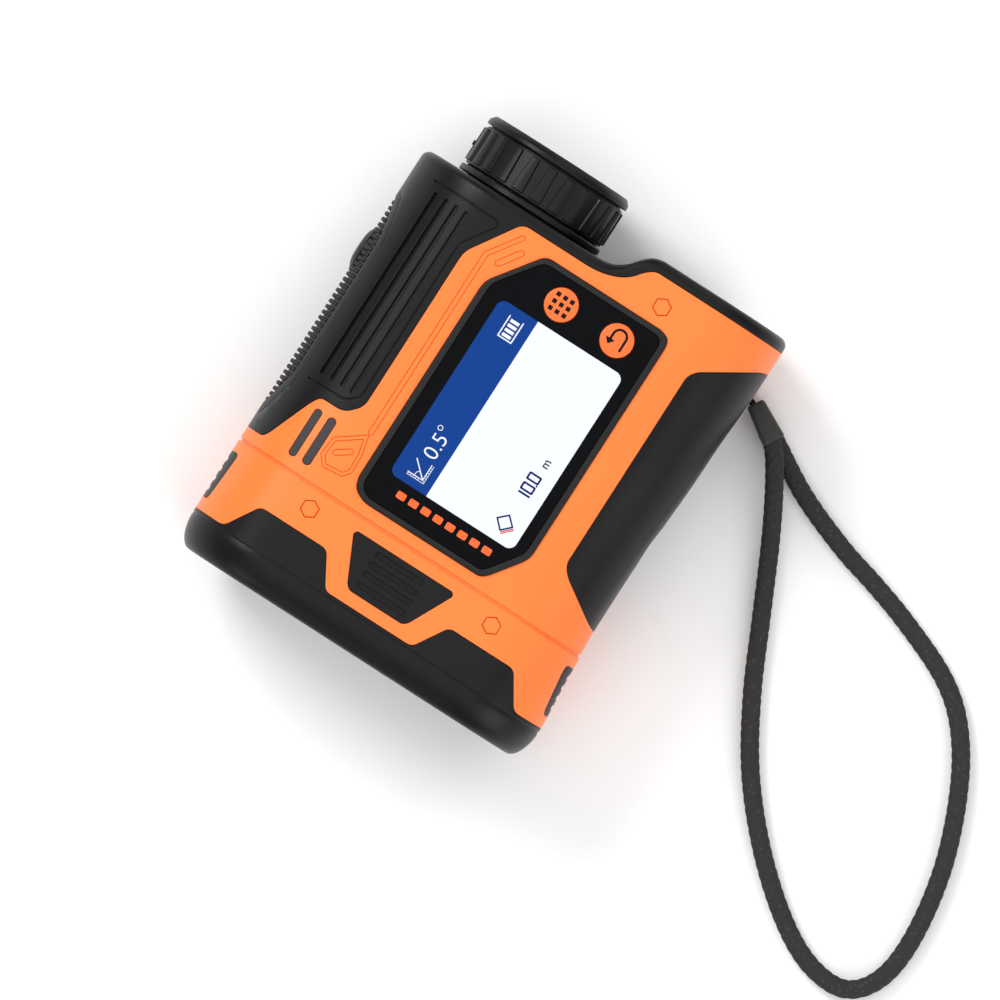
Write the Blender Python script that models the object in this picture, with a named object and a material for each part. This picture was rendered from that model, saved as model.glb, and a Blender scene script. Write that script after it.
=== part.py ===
"""Monocular laser rangefinder with a side screen, lying on its far side face.

Lengths below are millimetres and each mesh is stored in metres. +Z comes out of
the screen, +Y runs to the eyepiece, +X runs to the underside where the strap is.
"""

import math

import bmesh
import bpy
from mathutils import Vector

MM = 0.001
GAP = 0.3

# Body section: a rounded rectangle, lofted along Y.
LEFT = -41.2
BODY_TOP = 43.4
MID_Z = BODY_TOP / 2
CORNER = 19.0
ARC_STEPS = 6
RIGHT_AT = [(-60.0, 41.2), (-47.0, 41.2), (-31.3, 40.2), (-26.0, 39.6), (-11.3, 39.6), (18.0, 40.6), (35.7, 41.2), (60.0, 41.2)]
REAR_LINE = [(-0.4, 40.2), (1.6, 40.35), (3.6, 41.0), (5.6, 42.4), (6.7, 43.7), (7.9, 45.1), (9.4, 46.2), (11.4, 46.7)]
REAR_ROUND = 1.8
FRONT_Y = -53.3
FRONT_ROUND = 3.2
WALL = 3.6
SKIN = 1.5
SKIN_SEAT = SKIN + GAP

# Where the sleeves and skins end.
SEAM_TOP = -28.7
SEAM_FOOT = -29.4
SPIGOT_END = -50.3
REAR_REGION = [
    (-50.0, 60.0), (-50.0, -26.1), (-37.6, -26.1), (-36.8, -24.9), (-33.0, -15.3), (-31.8, -13.3),
    (-26.4, -13.3), (-23.5, -10.3), (-23.5, 26.7), (-16.4, 37.7), (-0.4, 37.7), (2.6, 38.1),
    (5.6, 39.2), (7.6, 40.6), (9.2, 42.7), (11.0, 44.1), (50.0, 44.1), (50.0, 60.0),
]
UNDER_REGION = [(50.0, 38.9), (40.4, 38.9), (28.8, 31.5), (27.6, 29.7), (27.6, -14.9), (29.2, -16.9), (39.6, -23.7), (50.0, -23.7)]
PAD_REGION = [
    (-50.0, 30.7), (-50.0, -23.3), (-41.0, -23.3), (-40.0, -20.3), (-38.8, -15.3), (-38.0, -12.3),
    (-38.0, 18.7), (-38.8, 23.7), (-40.4, 30.7),
]
BUMPER_REGION = [
    (-50.0, -60.0), (50.0, -60.0), (50.0, -45.5), (34.6, -45.5), (30.0, -38.3), (14.8, -38.3),
    (10.4, -45.5), (-10.2, -45.5), (-14.4, -38.3), (-30.0, -38.3), (-34.4, -45.5), (-50.0, -45.5),
]
GRILLE_FACE = [(-11.6, -32.6), (-11.1, -31.9), (11.4, -31.9), (11.9, -32.6), (7.3, -41.9), (6.3, -42.7), (-6.1, -42.7), (-7.1, -41.9)]
GRILLE_SLOTS = [-33.7, -36.0, -38.3, -40.7]

# Eyepiece and the optics behind it.
EYE_X = -17.15
NECK_R = 13.2
RING_R = 16.0
RIB_R = 16.5
RIBS = 24
RING_FOOT = 42.3
RING_TOP = 50.9
CUP_FOOT = 51.2
EYE_END = 53.3
RECEIVER_X = 17.0
LASER_X = 0.6

# Screen panel on the near face.
BEZEL_TOP = 44.0
BEZEL_FOOT = 42.1
BEZEL = [(-16.8, 23.9), (-9.0, 34.7), (18.6, 34.7), (20.4, 33.9), (20.8, 32.2), (20.8, -18.0), (15.6, -25.2), (14.2, -26.3), (-13.4, -26.3), (-16.0, -24.9), (-16.8, -22.6)]
GLASS = [(-15.4, 24.3), (-8.6, 33.5), (18.0, 33.5), (19.1, 32.9), (19.5, 31.8), (19.5, -17.6), (14.6, -24.3), (13.6, -25.1), (-13.0, -25.1), (-14.8, -24.1), (-15.4, -22.4)]
WINDOW = [(-14.2, 23.9), (-8.0, 32.6), (17.5, 32.6), (18.3, 31.5), (18.3, -17.3), (14.0, -23.1), (13.0, -23.9), (-12.6, -23.9), (-14.2, -22.3)]
KEY_SPOTS = [("key_menu", "tact_menu", -1.3, 28.2), ("key_back", "tact_back", 11.9, 28.2)]
KEY_R = 3.5

BUTTON_Y = 16.4
BUTTON_R = 5.3
PORT = (25.0, 31.6)
TRIPOD_Y = -3.0
TRIPOD_R = 5.0
POCKET = ((31.0, 29.7, 6.6), (60.0, 35.7, 13.4))
SCREWS = [("screw_rear", 15.9, 38.7), ("screw_front_top", -21.6, -33.3), ("screw_front_under", 21.6, -33.3)]
HEX_R = 1.9

# Strap: hand-laid route over the table, from the clasp round and back.
BRAID_R = 2.1
STRAP_ROUTE = [
    (50.6, 28.4, 2.5), (60.8, 22.6, 2.3), (72.8, 17.9, 2.3), (82.5, 15.2, 2.3), (92.3, 12.0, 2.3), (104.3, 6.8, 2.3),
    (112.2, 0.2, 2.3), (118.9, -10.2, 2.3), (124.7, -25.0, 2.3), (127.3, -39.9, 2.3), (126.4, -50.6, 2.3),
    (121.6, -56.6, 2.3), (113.4, -56.6, 2.3), (104.0, -52.0, 2.3), (92.6, -42.6, 2.3), (82.0, -30.6, 2.3),
    (73.6, -17.0, 2.3), (66.6, -2.6, 2.4), (60.0, 11.0, 3.6), (54.6, 20.8, 6.2), (50.3, 27.2, 7.1),
]


def clear_scene():
    for obj in list(bpy.data.objects):
        bpy.data.objects.remove(obj, do_unlink=True)


def material(name, colour, roughness, metallic=0.0):
    made = bpy.data.materials.new(name)
    made.use_nodes = True
    shader = made.node_tree.nodes["Principled BSDF"]
    shader.inputs["Base Color"].default_value = (*colour, 1.0)
    shader.inputs["Roughness"].default_value = roughness
    shader.inputs["Metallic"].default_value = metallic
    made.diffuse_color = (*colour, 1.0)
    return made


def solid(name, points, faces, surface=None, origin=(0.0, 0.0, 0.0)):
    """One mesh object. Points are millimetres in the shared frame."""
    start = Vector(origin) * MM
    work = bmesh.new()
    verts = [work.verts.new(Vector(point) * MM - start) for point in points]
    for face in faces:
        work.faces.new([verts[index] for index in face])
    bmesh.ops.recalc_face_normals(work, faces=work.faces)
    bmesh.ops.triangulate(work, faces=[face for face in work.faces if len(face.verts) == 4])
    mesh = bpy.data.meshes.new(name)
    work.to_mesh(mesh)
    work.free()
    obj = bpy.data.objects.new(name, mesh)
    obj.location = start
    bpy.context.scene.collection.objects.link(obj)
    if surface is None:
        obj.hide_render = True
        obj.display_type = "WIRE"
    else:
        mesh.materials.append(surface)
    return obj


def combine(obj, tools, operation="DIFFERENCE"):
    for tool in tools:
        change = obj.modifiers.new(tool.name, "BOOLEAN")
        change.operation = operation
        change.solver = "EXACT"
        change.object = tool
    return obj


def right_at(y):
    for (y0, x0), (y1, x1) in zip(RIGHT_AT, RIGHT_AT[1:]):
        if y <= y1:
            return x0 + (x1 - x0) * (y - y0) / (y1 - y0)
    return RIGHT_AT[-1][1]


def rear_line(inset):
    """The rear outline moved inwards, along its normals as far as the curve allows."""
    near = min(inset, SKIN_SEAT)
    moved = []
    for index, (x, y) in enumerate(REAR_LINE):
        before = REAR_LINE[max(index - 1, 0)]
        after = REAR_LINE[min(index + 1, len(REAR_LINE) - 1)]
        if index in (0, len(REAR_LINE) - 1):
            across, up = 0.0, -1.0
        else:
            length = math.dist(before, after)
            across, up = (after[1] - before[1]) / length, -(after[0] - before[0]) / length
        moved.append((x + near * across, y + near * up - (inset - near)))
    return moved


def ring(inset, y, line, rise=None):
    """One section of the body: top points from the left flank to the right one, then the bottom ones."""
    radius = CORNER - inset
    right = right_at(y)
    top = []
    for step in range(ARC_STEPS + 1):
        turn = math.pi - step * math.pi / 2 / ARC_STEPS
        top.append((LEFT + CORNER + radius * math.cos(turn), BODY_TOP - CORNER + radius * math.sin(turn)))
    top += [(x, BODY_TOP - inset) for x, _ in line]
    for step in range(ARC_STEPS + 1):
        turn = math.pi / 2 - step * math.pi / 2 / ARC_STEPS
        top.append((right - CORNER + radius * math.cos(turn), BODY_TOP - CORNER + radius * math.sin(turn)))
    if rise is None:
        depth = [y] * len(top)
    else:
        ends = [line[0][1]] * (ARC_STEPS + 1) + [end for _, end in line] + [line[-1][1]] * (ARC_STEPS + 1)
        depth = [end - rise for end in ends]
    upper = [(x, d, z) for (x, z), d in zip(top, depth)]
    return upper + [(x, d, BODY_TOP - z) for x, d, z in reversed(upper)]


def hull(name, inset, foot, top=None, surface=None):
    """The body's outer shape moved in by inset, from foot up to top, or to the shaped rear end."""
    line = rear_line(inset)
    last = 33.0 if top is None else top
    stations = [foot] + [y for y, _ in RIGHT_AT if foot < y < last] + [last]
    rings = []
    if foot <= FRONT_Y and inset == 0:
        for turn in (90.0, 60.0, 30.0):
            angle = math.radians(turn)
            rings.append(ring(FRONT_ROUND * (1 - math.cos(angle)), FRONT_Y + FRONT_ROUND * (1 - math.sin(angle)), line))
        stations[0] = FRONT_Y + FRONT_ROUND
    rings += [ring(inset, y, line) for y in stations]
    if top is None:
        rounding = max(REAR_ROUND - inset, 0.0)
        turns = (0.0, 30.0, 60.0, 90.0) if rounding else (90.0,)
        for turn in turns:
            angle = math.radians(turn)
            rings.append(ring(inset + rounding * (1 - math.cos(angle)), 60.0, line, rounding * (1 - math.sin(angle))))
    size = len(rings[0])
    half = size // 2
    points = [point for each in rings for point in each]
    faces = []
    for level in range(len(rings) - 1):
        low, high = level * size, (level + 1) * size
        faces += [(low + k, low + (k + 1) % size, high + (k + 1) % size, high + k) for k in range(size)]
    for start in (0, (len(rings) - 1) * size):
        faces += [(start + k, start + k + 1, start + size - 2 - k, start + size - 1 - k) for k in range(half - 1)]
    return solid(name, points, faces, surface)


def area(outline):
    return sum(a[0] * b[1] - b[0] * a[1] for a, b in zip(outline, outline[1:] + outline[:1])) / 2


def grown(outline, by):
    """The outline moved outwards all round by the same distance."""
    turn = 1.0 if area(outline) > 0 else -1.0
    moved = []
    for index, here in enumerate(outline):
        before, after = outline[index - 1], outline[(index + 1) % len(outline)]
        first = Vector((here[1] - before[1], before[0] - here[0])).normalized() * turn
        second = Vector((after[1] - here[1], here[0] - after[0])).normalized() * turn
        normal = (first + second).normalized()
        reach = by / max(normal.dot(first), 0.5)
        moved.append((here[0] + normal.x * reach, here[1] + normal.y * reach))
    return moved


def prism(name, outline, low, high, surface=None, axis="Z", origin=(0.0, 0.0, 0.0)):
    """An outline extruded along an axis. It is (x, y) along Z, (x, z) along Y and (y, z) along X."""
    place = {"Z": lambda a, b, c: (a, b, c), "Y": lambda a, b, c: (a, c, b), "X": lambda a, b, c: (c, a, b)}[axis]
    count = len(outline)
    points = [place(a, b, low) for a, b in outline] + [place(a, b, high) for a, b in outline]
    faces = [(k, (k + 1) % count, count + (k + 1) % count, count + k) for k in range(count)]
    faces += [tuple(range(count)), tuple(range(count, 2 * count))]
    return solid(name, points, faces, surface, origin)


def box(name, low, high, surface=None):
    outline = [(low[0], low[1]), (high[0], low[1]), (high[0], high[1]), (low[0], high[1])]
    return prism(name, outline, low[2], high[2], surface)


def boxes(name, corners):
    """Several separate boxes in one cutter."""
    points, faces = [], []
    for low, high in corners:
        start = len(points)
        points += [(x, y, z) for z in (low[2], high[2]) for x, y in ((low[0], low[1]), (high[0], low[1]), (high[0], high[1]), (low[0], high[1]))]
        faces += [tuple(start + k for k in face) for face in ((0, 1, 2, 3), (4, 5, 6, 7), (0, 1, 5, 4), (1, 2, 6, 5), (2, 3, 7, 6), (3, 0, 4, 7))]
    return solid(name, points, faces)


def turned(name, profile, centre, axis="Y", surface=None, steps=24, phase=0.5, origin=None):
    """A closed (radius, height) profile turned about an axis. Radius 0 makes a pole."""
    place = {
        "Y": lambda r, h, a: (centre[0] + r * math.cos(a), h, centre[1] + r * math.sin(a)),
        "X": lambda r, h, a: (h, centre[0] + r * math.cos(a), centre[1] + r * math.sin(a)),
        "Z": lambda r, h, a: (centre[0] + r * math.cos(a), centre[1] + r * math.sin(a), h),
    }[axis]
    points, rows = [], []
    for radius, height in profile:
        if radius == 0:
            rows.append([len(points)] * steps)
            points.append(place(0.0, height, 0.0))
            continue
        rows.append(list(range(len(points), len(points) + steps)))
        points += [place(radius, height, 2 * math.pi * (k + phase) / steps) for k in range(steps)]
    faces = []
    closed = profile[0][0] > 0 and profile[-1][0] > 0
    pairs = list(zip(rows, rows[1:])) + ([(rows[-1], rows[0])] if closed else [])
    for lower, upper in pairs:
        for k in range(steps):
            after = (k + 1) % steps
            face = [lower[k], lower[after], upper[after], upper[k]]
            faces.append(tuple(dict.fromkeys(face)))
    return solid(name, points, [face for face in faces if len(face) > 2], surface, origin or (0.0, 0.0, 0.0))


def pipe(name, outer, inner, low, high, centre, axis="Y", surface=None, steps=24):
    profile = [(outer, low), (outer, high), (inner, high), (inner, low)]
    return turned(name, profile, centre, axis, surface, steps)


def rod(name, radius, low, high, centre, axis="Y", surface=None, steps=24):
    return turned(name, [(0, low), (radius, low), (radius, high), (0, high)], centre, axis, surface, steps)


def ribbon(points, width):
    """The outline of a straight-edged line of constant width."""
    sides = ([], [])
    for index, here in enumerate(points):
        before, after = points[max(index - 1, 0)], points[min(index + 1, len(points) - 1)]
        along = Vector((after[0] - before[0], after[1] - before[1])).normalized()
        for side, sign in zip(sides, (1, -1)):
            side.append((here[0] - sign * along.y * width / 2, here[1] + sign * along.x * width / 2))
    return sides[0] + sides[1][::-1]


def skin_tool(name, region, depth, low=-10.0, high=60.0):
    """A cutter for everything in a region down to depth below the body's surface."""
    tool = prism(name, region, low, high)
    return combine(tool, [bpy.data.objects["hull_in_%s" % depth]])


def rounded(x0, x1, z0, z1, radius, steps=5):
    corners = [(x1 - radius, z1 - radius, 0), (x0 + radius, z1 - radius, 90), (x0 + radius, z0 + radius, 180), (x1 - radius, z0 + radius, 270)]
    points = []
    for x, z, start in corners:
        for step in range(steps + 1):
            turn = math.radians(start + 90 * step / steps)
            points.append((x + radius * math.cos(turn), z + radius * math.sin(turn)))
    return points


def make_tools():
    for depth in (0.5, SKIN, SKIN_SEAT, 1.2):
        hull("hull_in_%s" % depth, depth, -75.0)
    hull("cavity", WALL, -75.0)
    hull("cavity_fit", WALL + GAP, -75.0)
    hull("rebate", 0.9, -75.0, -26.7)
    skin_tool("seat_rear", grown(REAR_REGION, GAP), SKIN_SEAT)
    skin_tool("seat_under", grown(UNDER_REGION, GAP), SKIN_SEAT)
    skin_tool("seat_bumper", grown(BUMPER_REGION, GAP), SKIN_SEAT)
    prism("near_side", [(-60, -70), (60, -70), (60, 70), (-60, 70)], -10.0, MID_Z + GAP / 2)
    prism("far_side", [(-60, -70), (60, -70), (60, 70), (-60, 70)], MID_Z - GAP / 2, 60.0)
    rod("neck_hole", NECK_R + GAP, 30.0, 60.0, (EYE_X, MID_Z), "Y", None, 32)
    rod("button_hole", BUTTON_R + GAP, -60.0, -30.0, (BUTTON_Y, MID_Z), "X")
    rod("tripod_hole", TRIPOD_R + GAP, 30.0, 60.0, (TRIPOD_Y, MID_Z), "X")
    box("strap_pocket", *POCKET)
    x, z = PORT
    box("port_hole", (x - 5.0, 36.0, z - 2.6), (x + 5.0, 60.0, z + 2.6))
    box("port_seat", (x - 6.8, 45.1, z - 4.8), (x + 6.8, 60.0, z + 4.8))
    prism("bezel_seat", grown(BEZEL, GAP), BEZEL_FOOT - GAP, 60.0)
    prism("window_hole", WINDOW, 30.0, 60.0)


def screw_holes(name, spots, low, high):
    """Hexagonal wells for the screws on one face."""
    points, faces = [], []
    for x, y in spots:
        start = len(points)
        for z in (low, high):
            points += [(x + (HEX_R + GAP) * math.sin(math.pi * k / 3), y + (HEX_R + GAP) * math.cos(math.pi * k / 3), z) for k in range(6)]
        faces += [tuple(range(start, start + 6)), tuple(range(start + 6, start + 12))]
        faces += [(start + k, start + (k + 1) % 6, start + 6 + (k + 1) % 6, start + 6 + k) for k in range(6)]
    return solid(name, points, faces)


def make_housing(look):
    tools = bpy.data.objects
    main = [(x, y) for _, x, y in SCREWS[:1]]
    front = [(x, y) for _, x, y in SCREWS[1:]]
    screw_holes("wells_near", main, BODY_TOP - 1.8, 60.0)
    screw_holes("wells_far", main, -10.0, 1.8)
    screw_holes("wells_front_near", front, BODY_TOP - 1.8, 60.0)
    screw_holes("wells_front_far", front, -10.0, 1.8)
    marks = {}
    for name, x0, x1 in (("inlay_outer", -31.4, -29.8), ("inlay_inner", -28.2, -26.4)):
        outline = rounded(x0, x1, -26.3, -15.5, (x1 - x0) / 2 - 0.01, 3)
        marks[name] = outline
        skin_tool("seat_" + name, grown(outline, GAP), 1.2, MID_Z, 60.0)
        piece = hull(name, 0, -28.0, 0.0, look["inlay"])
        combine(piece, [prism("form_" + name, outline, MID_Z, 60.0)], "INTERSECT")
        piece_floor = hull("floor_" + name, 0.9, -75.0)
        combine(piece, [piece_floor])
    line = prism("cut_line", ribbon([(-19.5, -14.9), (-19.5, 28.7), (-15.0, 35.3)], 0.8), 38.0, 60.0)
    combine(line, [tools["hull_in_0.5"]])
    shared = ["cavity", "seat_rear", "seat_under", "rebate", "neck_hole", "button_hole", "tripod_hole", "strap_pocket", "port_hole"]
    near = hull("housing_near", 0, SEAM_TOP, None, look["shell"])
    combine(near, [tools[name] for name in ["near_side"] + shared])
    combine(near, [tools[name] for name in ("bezel_seat", "window_hole", "wells_near", "seat_inlay_outer", "seat_inlay_inner")])
    combine(near, [line])
    far = hull("housing_far", 0, SEAM_TOP, None, look["shell"])
    combine(far, [tools[name] for name in ["far_side"] + shared + ["wells_far"]])


def make_front(look):
    tools = bpy.data.objects
    seats = []
    for name, low, high in (("grille_near", MID_Z, 60.0), ("grille_far", -10.0, MID_Z)):
        seats.append(skin_tool("seat_" + name, grown(GRILLE_FACE, GAP), 1.2, low, high))
        piece = hull(name, 0, -44.0, -31.0, look["inlay"])
        combine(piece, [prism("form_" + name, GRILLE_FACE, low, high)], "INTERSECT")
        combine(piece, [tools["floor_inlay_outer"]])
        slots = boxes("slots_" + name, [((-5.8, y - 0.65, BODY_TOP - 0.5), (5.8, y + 0.65, 60.0)) for y in GRILLE_SLOTS])
        if name == "grille_far":
            slots = boxes("slots_far", [((-5.8, y - 0.65, -10.0), (5.8, y + 0.65, 0.5)) for y in GRILLE_SLOTS])
        combine(piece, [slots])
    side_face = [(-42.7, MID_Z - 9.0), (-42.7, MID_Z + 9.0), (-31.9, MID_Z + 10.5), (-31.9, MID_Z - 10.5)]
    for name, low, high in (("grille_top", -60.0, -30.0), ("grille_under", 30.0, 60.0)):
        seat = prism("seat_" + name, grown(side_face, GAP), low, high, None, "X")
        seats.append(combine(seat, [tools["hull_in_1.2"]]))
        piece = hull(name, 0, -44.0, -31.0, look["inlay"])
        combine(piece, [prism("form_" + name, side_face, low, high, None, "X")], "INTERSECT")
        combine(piece, [tools["floor_inlay_outer"]])
    tongue = hull("tongue", 1.2, -32.0, -27.0)
    combine(tongue, [hull("tongue_core", 2.6, -75.0)])
    sleeve = hull("front_housing", 0, SPIGOT_END, SEAM_FOOT, look["shell"])
    combine(sleeve, [tools["seat_bumper"]])
    combine(sleeve, [tongue], "UNION")
    combine(sleeve, [tools["cavity"], *seats, tools["wells_front_near"], tools["wells_front_far"]])
    bumper = hull("front_bumper", 0, FRONT_Y, -36.0, look["rubber"])
    combine(bumper, [prism("form_bumper", BUMPER_REGION, -10.0, 60.0)], "INTERSECT")
    core = hull("bumper_core", SKIN, SPIGOT_END - GAP, 0.0)
    mouth = rounded(LEFT + 5.4, -LEFT - 5.4, 5.4, BODY_TOP - 5.4, CORNER - 5.4, 6)
    combine(bumper, [core, prism("mouth", mouth, -70.0, -40.0, None, "Y")])
    plate = rounded(LEFT + 4.4, -LEFT - 4.4, 3.9, BODY_TOP - 3.9, CORNER - 3.9, 6)
    face = prism("front_plate", plate, -49.9, -47.4, look["plate"], "Y")
    for name, x, radius in (("objective_hole", EYE_X, 12.6), ("receiver_hole", RECEIVER_X, 11.6), ("laser_hole", LASER_X, 2.6)):
        combine(face, [rod(name, radius, -60.0, -40.0, (x, MID_Z))])


def make_armour(look):
    tools = bpy.data.objects
    rear = hull("rear_armour", 0, -28.0, None, look["rubber"])
    combine(rear, [prism("form_rear", REAR_REGION, -10.0, 60.0)], "INTERSECT")
    prism("pad_hole", grown(PAD_REGION, GAP), -10.0, 60.0)
    combine(rear, [tools[name] for name in ("hull_in_%s" % SKIN, "pad_hole", "neck_hole", "port_seat")])
    grooves = boxes("cut_grooves", [((x - 0.4, -8.9, -10.0), (x + 0.4, 33.3, 60.0)) for x in (-34.4, -32.0, -29.6, -27.2)])
    combine(grooves, [tools["hull_in_0.5"]])
    combine(rear, [grooves])
    under = hull("underside_armour", 0, -28.0, None, look["rubber"])
    combine(under, [prism("form_under", UNDER_REGION, -10.0, 60.0)], "INTERSECT")
    combine(under, [tools[name] for name in ("hull_in_%s" % SKIN, "tripod_hole", "strap_pocket")])
    pad = hull("finger_pad", 0, -28.0, None, look["pad"])
    combine(pad, [prism("form_pad", PAD_REGION, -10.0, 60.0)], "INTERSECT")
    combine(pad, [tools["hull_in_%s" % SKIN], tools["button_hole"]])


def make_panel(look):
    frame = prism("screen_bezel", BEZEL, BEZEL_FOOT, BEZEL_TOP, look["bezel"])
    combine(frame, [prism("glass_seat", grown(GLASS, GAP), 42.9, 60.0), bpy.data.objects["window_hole"]])
    glass = prism("screen_glass", GLASS, 43.2, 43.8, look["glass"])
    for name, switch, x, y in KEY_SPOTS:
        combine(glass, [rod("hole_" + name, KEY_R + GAP, 40.0, 50.0, (x, y), "Z")])
        profile = [(0, 39.2), (1.5, 39.2), (1.5, 41.8), (4.05, 41.8), (4.05, 42.6), (KEY_R, 42.6), (KEY_R, 43.8), (KEY_R - 0.2, 44.0), (0, 44.0)]
        turned(name, profile, (x, y), "Z", look["key"], 24, 0.5, (x, y, 41.8))
        box(switch, (x - 2.2, y - 2.2, 37.4), (x + 2.2, y + 2.2, 38.8), look["metal"])
    box("lcd_module", (-13.0, -18.7, 37.5), (16.9, 23.4, 42.8), look["lcd"])
    box("main_board", (-18.0, -23.0, 35.9), (22.0, 33.0, 37.1), look["board"])


def make_button(look):
    profile = [(0, -36.2), (6.0, -36.2), (6.0, -36.9), (BUTTON_R, -36.9), (BUTTON_R, -41.0), (4.4, -41.7), (2.4, -42.1), (0, -42.2)]
    turned("measure_button", profile, (BUTTON_Y, MID_Z), "X", look["rubber"], 24, 0.5, (-37.2, BUTTON_Y, MID_Z))
    box("tact_measure", (-35.3, BUTTON_Y - 3.0, MID_Z - 3.0), (-33.2, BUTTON_Y + 3.0, MID_Z + 3.0), look["metal"])
    box("measure_board", (-32.9, BUTTON_Y - 8.0, MID_Z - 8.0), (-31.7, BUTTON_Y + 8.0, MID_Z + 8.0), look["board"])


def rib_radius(k):
    return RIB_R if k % 4 in (1, 2) else RING_R


def make_eyepiece(look):
    centre = (EYE_X, MID_Z)
    tube = [
        (NECK_R, 27.0), (NECK_R, 34.0), (15.2, 34.0), (15.2, 36.2), (NECK_R, 36.2), (NECK_R, 40.5), (RIB_R, 40.5),
        (RIB_R, 41.9), (NECK_R, 41.9), (NECK_R, 49.2), (11.5, 49.2), (11.5, 27.0),
    ]
    turned("eyepiece_tube", tube, centre, "Y", look["metal_black"], 32)
    count = RIBS * 4
    offsets = (0.0, 0.22, 0.72, 0.94)
    points, faces = [], []
    for y in (RING_FOOT, RING_TOP):
        for k in range(count):
            turn = 2 * math.pi * (k // 4 + offsets[k % 4] + 0.03) / RIBS + math.pi / 2 - math.pi / RIBS
            points.append((EYE_X + rib_radius(k) * math.cos(turn), y, MID_Z + rib_radius(k) * math.sin(turn)))
        for k in range(count):
            turn = 2 * math.pi * (k // 4 + offsets[k % 4] + 0.03) / RIBS + math.pi / 2 - math.pi / RIBS
            points.append((EYE_X + 13.5 * math.cos(turn), y, MID_Z + 13.5 * math.sin(turn)))
    for k in range(count):
        after = (k + 1) % count
        low, low_in, high, high_in = 0, count, 2 * count, 3 * count
        faces += [(low + k, low + after, high + after, high + k), (low_in + k, low_in + after, high_in + after, high_in + k)]
        faces += [(low + k, low + after, low_in + after, low_in + k), (high + k, high + after, high_in + after, high_in + k)]
    solid("diopter_ring", points, faces, look["metal_black"], (EYE_X, 46.6, MID_Z))
    cup = [(14.6, CUP_FOOT), (16.5, CUP_FOOT), (16.5, 52.1), (15.6, EYE_END), (12.6, EYE_END), (10.4, 52.2), (10.4, 50.2), (12.9, 50.2), (12.9, CUP_FOOT)]
    turned("eyecup", cup, centre, "Y", look["rubber"], 32, 0.5, (EYE_X, 46.6, MID_Z))
    cell = [(11.2, 34.6), (11.2, 48.0), (9.8, 48.0), (9.8, 34.6)]
    turned("eyepiece_cell", cell, centre, "Y", look["metal_black"], 24, 0.5, (EYE_X, 41.0, MID_Z))
    lens = [(0, 42.6), (5.0, 42.8), (9.5, 43.6), (9.5, 45.6), (5.0, 46.6), (0, 46.9)]
    turned("eyepiece_lens", lens, centre, "Y", look["lens"], 24, 0.5, (EYE_X, 41.0, MID_Z))


def make_optics(look):
    centre = (EYE_X, MID_Z)
    pipe("optical_barrel", 13.2, 11.6, -47.1, 4.0, centre, "Y", look["metal_black"])
    turned("objective_lens", [(0, -46.6), (6.0, -46.3), (11.3, -45.2), (11.3, -42.6), (0, -42.2)], centre, "Y", look["lens"])
    box("prism_block", (EYE_X - 10.0, 6.0, MID_Z - 10.0), (EYE_X + 10.0, 25.4, MID_Z + 10.0), look["prism"])
    box("reticle_plate", (EYE_X - 9.0, 25.8, MID_Z - 9.0), (EYE_X + 9.0, 26.7, MID_Z + 9.0), look["lcd"])
    cradle = box("optics_cradle", (-29.0, -20.0, 3.9), (-5.4, 30.0, 14.0), look["plate"])
    combine(cradle, [rod("barrel_bed", 13.5, -60.0, 60.0, centre), box("prism_bed", (EYE_X - 10.3, 5.7, MID_Z - 10.3), (EYE_X + 10.3, 31.0, 40.0))])
    combine(cradle, [bpy.data.objects["cavity_fit"]], "INTERSECT")
    other = (RECEIVER_X, MID_Z)
    pipe("receiver_tube", 12.2, 10.6, -47.1, -26.4, other, "Y", look["metal_black"])
    turned("receiver_lens", [(0, -46.6), (6.0, -46.3), (10.3, -45.4), (10.3, -43.2), (0, -43.0)], other, "Y", look["lens"])
    rod("laser_module", 3.4, -47.1, -31.0, (LASER_X, MID_Z), "Y", look["metal"], 16)
    box("detector_board", (RECEIVER_X - 11.0, -26.0, MID_Z - 11.0), (RECEIVER_X + 11.0, -24.6, MID_Z + 11.0), look["board"])


def make_power(look):
    rod("battery", 9.2, -22.2, 42.6, (20.0, 15.6), "Y", look["battery"])
    cradle = box("battery_cradle", (11.0, -21.0, 3.9), (28.6, 38.0, 11.0), look["plate"])
    combine(cradle, [rod("battery_bed", 9.5, -60.0, 60.0, (20.0, 15.6))])
    combine(cradle, [bpy.data.objects["cavity_fit"]], "INTERSECT")
    x, z = PORT
    shell = box("usb_socket", (x - 4.5, 37.6, z - 1.6), (x + 4.5, 45.0, z + 1.6), look["metal"])
    combine(shell, [box("usb_mouth", (x - 4.1, 39.0, z - 1.2), (x + 4.1, 60.0, z + 1.2))])
    box("usb_board", (x - 7.0, 30.0, z - 3.3), (x + 7.0, 42.8, z - 1.9), look["board"])
    outline = [(x - 6.5, 45.4), (x + 6.5, 45.4), (x + 6.5, 46.7), (x - 6.5, 46.7)]
    prism("port_cover", outline, z - 4.5, z + 4.5, look["rubber"], "Z", (x, 46.7, z - 4.5))
    insert = [(0, 31.0), (TRIPOD_R, 31.0), (TRIPOD_R, 38.4), (4.6, 38.8), (3.3, 38.8), (3.3, 32.0), (0, 32.0)]
    turned("tripod_insert", insert, (TRIPOD_Y, MID_Z), "X", look["metal"])


def make_screws(look):
    for name, x, y in SCREWS:
        for side, low, high in (("near", BODY_TOP - 1.5, BODY_TOP - 0.1), ("far", 0.1, 1.5)):
            outline = [(x + HEX_R * math.sin(math.pi * k / 3), y + HEX_R * math.cos(math.pi * k / 3)) for k in range(6)]
            prism("%s_%s" % (name, side), outline, low, high, look["metal_black"])


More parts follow.
